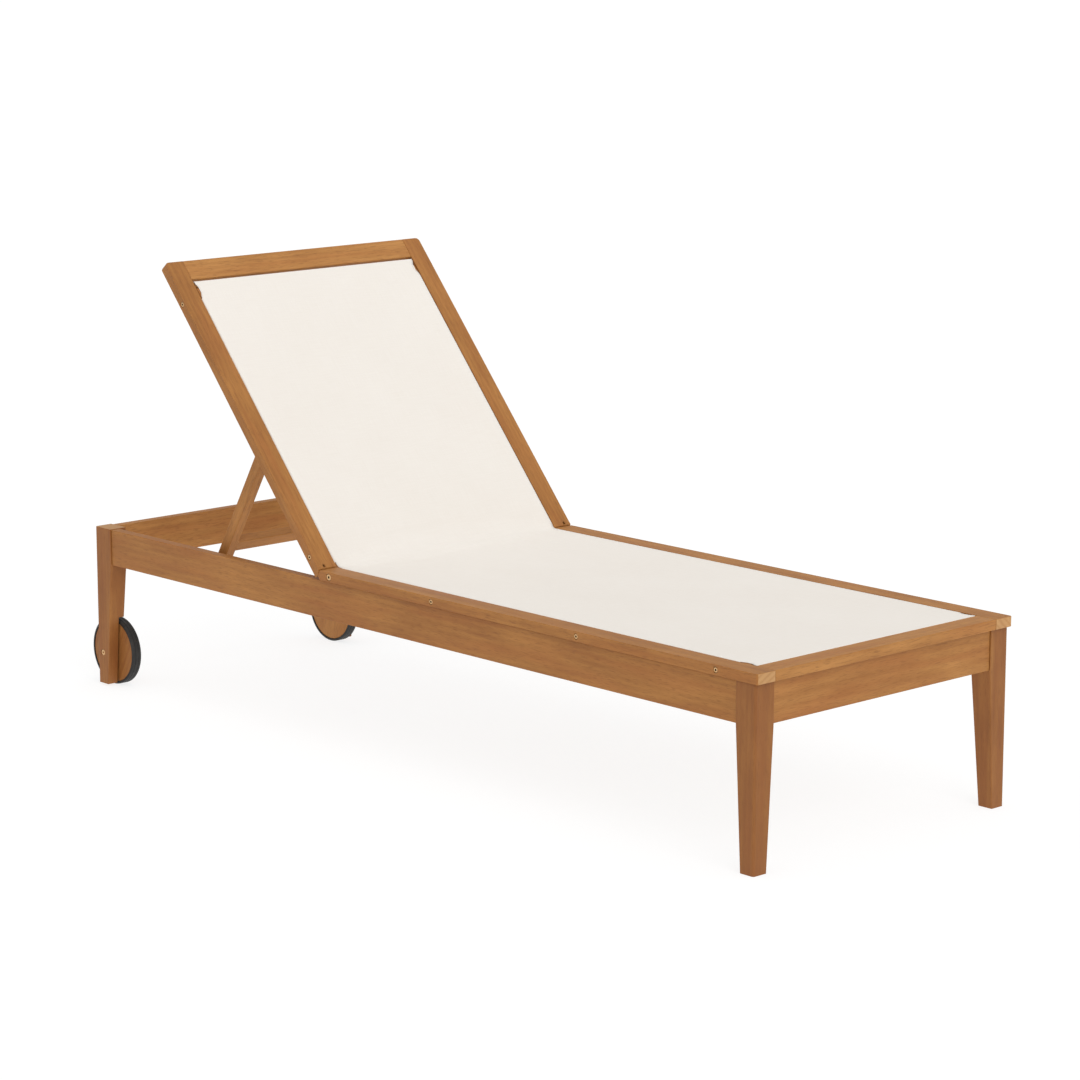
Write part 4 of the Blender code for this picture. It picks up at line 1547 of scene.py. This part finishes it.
    def _line(self, mark: float, part: str, across: float) -> tuple[Vector, Vector]:
        """Find a place on the sheet's upper face in the side view.

        Args:
            mark: Length along the cloth from the crease.
            part: Part of the sheet that the row is in.
            across: Distance from its middle line, which sets how wide the bend is.

        Returns:
            The place, with a Y of 0, and the way up from the cloth there.
        """
        tilt = BACK_ANGLE
        seat_normal = Vector((0, 0, 1))
        back_normal = Vector((math.sin(tilt), 0, math.cos(tilt)))
        upwards = self._up(1.0)
        if part == "foot_wrap":
            outwards, down = self._wrap(self._foot_mark() - mark)
            return self._crease() + Vector((-self._foot_mark() + outwards, 0, -down)), seat_normal
        if part == "top_wrap":
            outwards, down = self._wrap(mark - self._top_mark())
            return self._crease() + upwards * (self._top_mark() + outwards) - back_normal * down, back_normal
        share = 1 - (abs(across) / self.half_width) ** 3
        reach = self.bend_edge + (self.bend_middle - self.bend_edge) * share
        if mark < -reach:
            return self._crease() - Vector((mark, 0, 0)), seat_normal
        if mark > reach:
            return self._crease() + upwards * mark, back_normal
        turn = (mark + reach) / (2 * reach) * tilt
        centre = self._crease() + Vector((reach, 0, reach / math.tan(tilt / 2)))
        normal = Vector((math.sin(turn), 0, math.cos(turn)))
        return centre - normal * reach / math.tan(tilt / 2), normal

    def _crease(self) -> Vector:
        """Where the seat's and the back's upper faces of cloth would meet without a bend."""
        return HINGE + Vector((self.lift * math.tan(BACK_ANGLE / 2), 0, self.lift))

    def _foot_mark(self) -> float:
        """Length along the cloth from the crease to the foot end's wrap, which is negative."""
        return self._crease().x - (self.foot_end - self.fold)

    def _top_mark(self) -> float:
        """Length along the cloth from the crease to the top end's wrap."""
        return self.top_end - self.fold - self.lift * math.tan(BACK_ANGLE / 2)

    def _battens(self) -> None:
        """Make the battens in the sheet's wraps: at the sides of both frames, and at both ends."""
        outer = self.half_width - self.thick - self.batten_gap
        top = self.lift - self.thick - 0.3 * MM
        bottom = self.lift - self.wrap_down + self.thick + 0.3 * MM
        for label, side in SIDES:
            y_low, y_high = sorted((side * outer, side * (outer - self.batten)))
            shape = block((HINGE.x + self.batten_hinge, y_low, HINGE.z + bottom),
                          (self.foot_end - self.batten_end, y_high, HINGE.z + top))
            self.maker.board(f"seat_batten_{label}_oiled", shape, Grain.ALONG_X, "base",
                             [f"seat_batten_{label}"], ease=self.batten_ease)
            shape = block((-self.top_end + self.batten_end, y_low, bottom), (-self.batten_hinge, y_high, top))
            self.maker.board(f"back_batten_{label}_oiled", shape, Grain.ALONG_X, "backrest",
                             [f"back_batten_{label}"], self.maker.hinge, ease=self.batten_ease)
        reach = outer - 2 * MM
        end = self.foot_end - self.thick - self.batten_gap
        shape = block((end - self.batten, -reach, HINGE.z + bottom), (end, reach, HINGE.z + top))
        self.maker.board("foot_batten_oiled", shape, Grain.ALONG_Y, "base", ease=self.batten_ease)
        end = -self.top_end + self.thick + self.batten_gap
        shape = block((end, -reach, bottom), (end + self.batten, reach, top))
        self.maker.board("top_batten_oiled", shape, Grain.ALONG_Y, "backrest", frame_of=self.maker.hinge,
                         ease=self.batten_ease)


# ---------------------------------------------------------------- hidden hardware
@dataclass
class HingeHardware:
    """The flat plates and rivets inside the mortises: CAD pieces that only need their finish."""

    maker: Maker

    def build(self) -> None:
        """Give the plates and rivets their plating."""
        for label, _ in SIDES:
            for stem in ("hinge_plate_seat", "hinge_plate_back", "hinge_rivet"):
                self.maker.refinish(f"{stem}_{label}", self.maker.finishes.zinc)


# ---------------------------------------------------------------- studio
@dataclass
class Studio:
    """A pale floor, a white surround, one broad soft lamp and the camera.

    The surround's pairs give its brightness by the sine of the height above the horizon. The lamp
    and the camera are given by where they stand, and the camera by its turns in degrees as well.
    """

    eye: tuple[float, float, float] = (5.1318, -4.6754, 1.8109)
    aim: tuple[float, float, float] = (78.6622, 0.0, 47.1923)
    lens: float = 115.37
    view_limit: float = 400.0
    floor_half: float = 150.0
    floor_glow: float = 0.80
    floor_albedo: float = 0.24
    surround: tuple[tuple[float, float], ...] = ((0.0, 1.0), (0.09, 1.0), (0.17, 0.24), (0.85, 1.06))
    lamp_strength: float = 0.82
    lamp_from: tuple[float, float, float] = (0.75, -0.24, 0.60)
    lamp_angle: float = 42.0

    def build(self) -> None:
        """Make the floor, the light and the camera."""
        self._floor()
        self._surround()
        lamp = bpy.data.lights.new("broad_soft_lamp", "SUN")
        lamp.energy = self.lamp_strength
        lamp.angle = math.radians(self.lamp_angle)
        holder = bpy.data.objects.new("broad_soft_lamp", lamp)
        holder.rotation_euler = Vector(self.lamp_from).to_track_quat("Z", "Y").to_euler()
        bpy.context.scene.collection.objects.link(holder)
        camera = bpy.data.cameras.new("studio_camera")
        camera.lens = self.lens
        camera.clip_end = self.view_limit
        stand = bpy.data.objects.new("studio_camera", camera)
        stand.location = self.eye
        stand.rotation_euler = [math.radians(angle) for angle in self.aim]
        bpy.context.scene.collection.objects.link(stand)
        bpy.context.scene.camera = stand
        bpy.context.scene.view_settings.view_transform = "Standard"

    def _floor(self) -> None:
        """A wide matt floor that glows a little, so that shadows on it stay pale."""
        shape = bmesh.new()
        bmesh.ops.create_grid(shape, x_segments=4, y_segments=4, size=self.floor_half)
        floor = put_in_scene("studio_floor", mesh_of("studio_floor", shape))
        made, _, shader = new_material("white_studio_floor")
        tone = self.floor_albedo
        shader.inputs["Base Color"].default_value = (tone, tone, tone, 1.0)
        shader.inputs["Roughness"].default_value = 1.0
        shader.inputs["Specular IOR Level"].default_value = 0.0
        shader.inputs["Emission Color"].default_value = (1.0, 1.0, 1.0, 1.0)
        shader.inputs["Emission Strength"].default_value = self.floor_glow
        floor.data.materials.append(made)

    def _surround(self) -> None:
        """A surround that is white at the horizon and overhead, and dimmer in between."""
        world = bpy.data.worlds.new("studio_surround")
        world.use_nodes = True
        tree = world.node_tree
        place = add_node(tree, "ShaderNodeTexCoord").outputs["Generated"]
        height = add_node(tree, "ShaderNodeSeparateXYZ", links={0: place}).outputs["Z"]
        glow = add_node(tree, "ShaderNodeValToRGB", links={"Fac": height})
        ramp(glow, [(at, (level, level, level, 1.0)) for at, level in self.surround])
        tree.links.new(glow.outputs["Color"], tree.nodes["Background"].inputs["Color"])
        bpy.context.scene.world = world


def main() -> None:
    """Build the lounger's looks and the studio."""
    logging.basicConfig(level=logging.INFO, format="%(name)s: %(message)s")
    maker = Maker(Finishes())
    Base(maker).build()
    Wheels(maker).build()
    SeatFrame(maker).build()
    Backrest(maker).build()
    Prop(maker).build()
    Sling(maker).build()
    HingeHardware(maker).build()
    Studio().build()


if __name__ == "__main__":
    main()
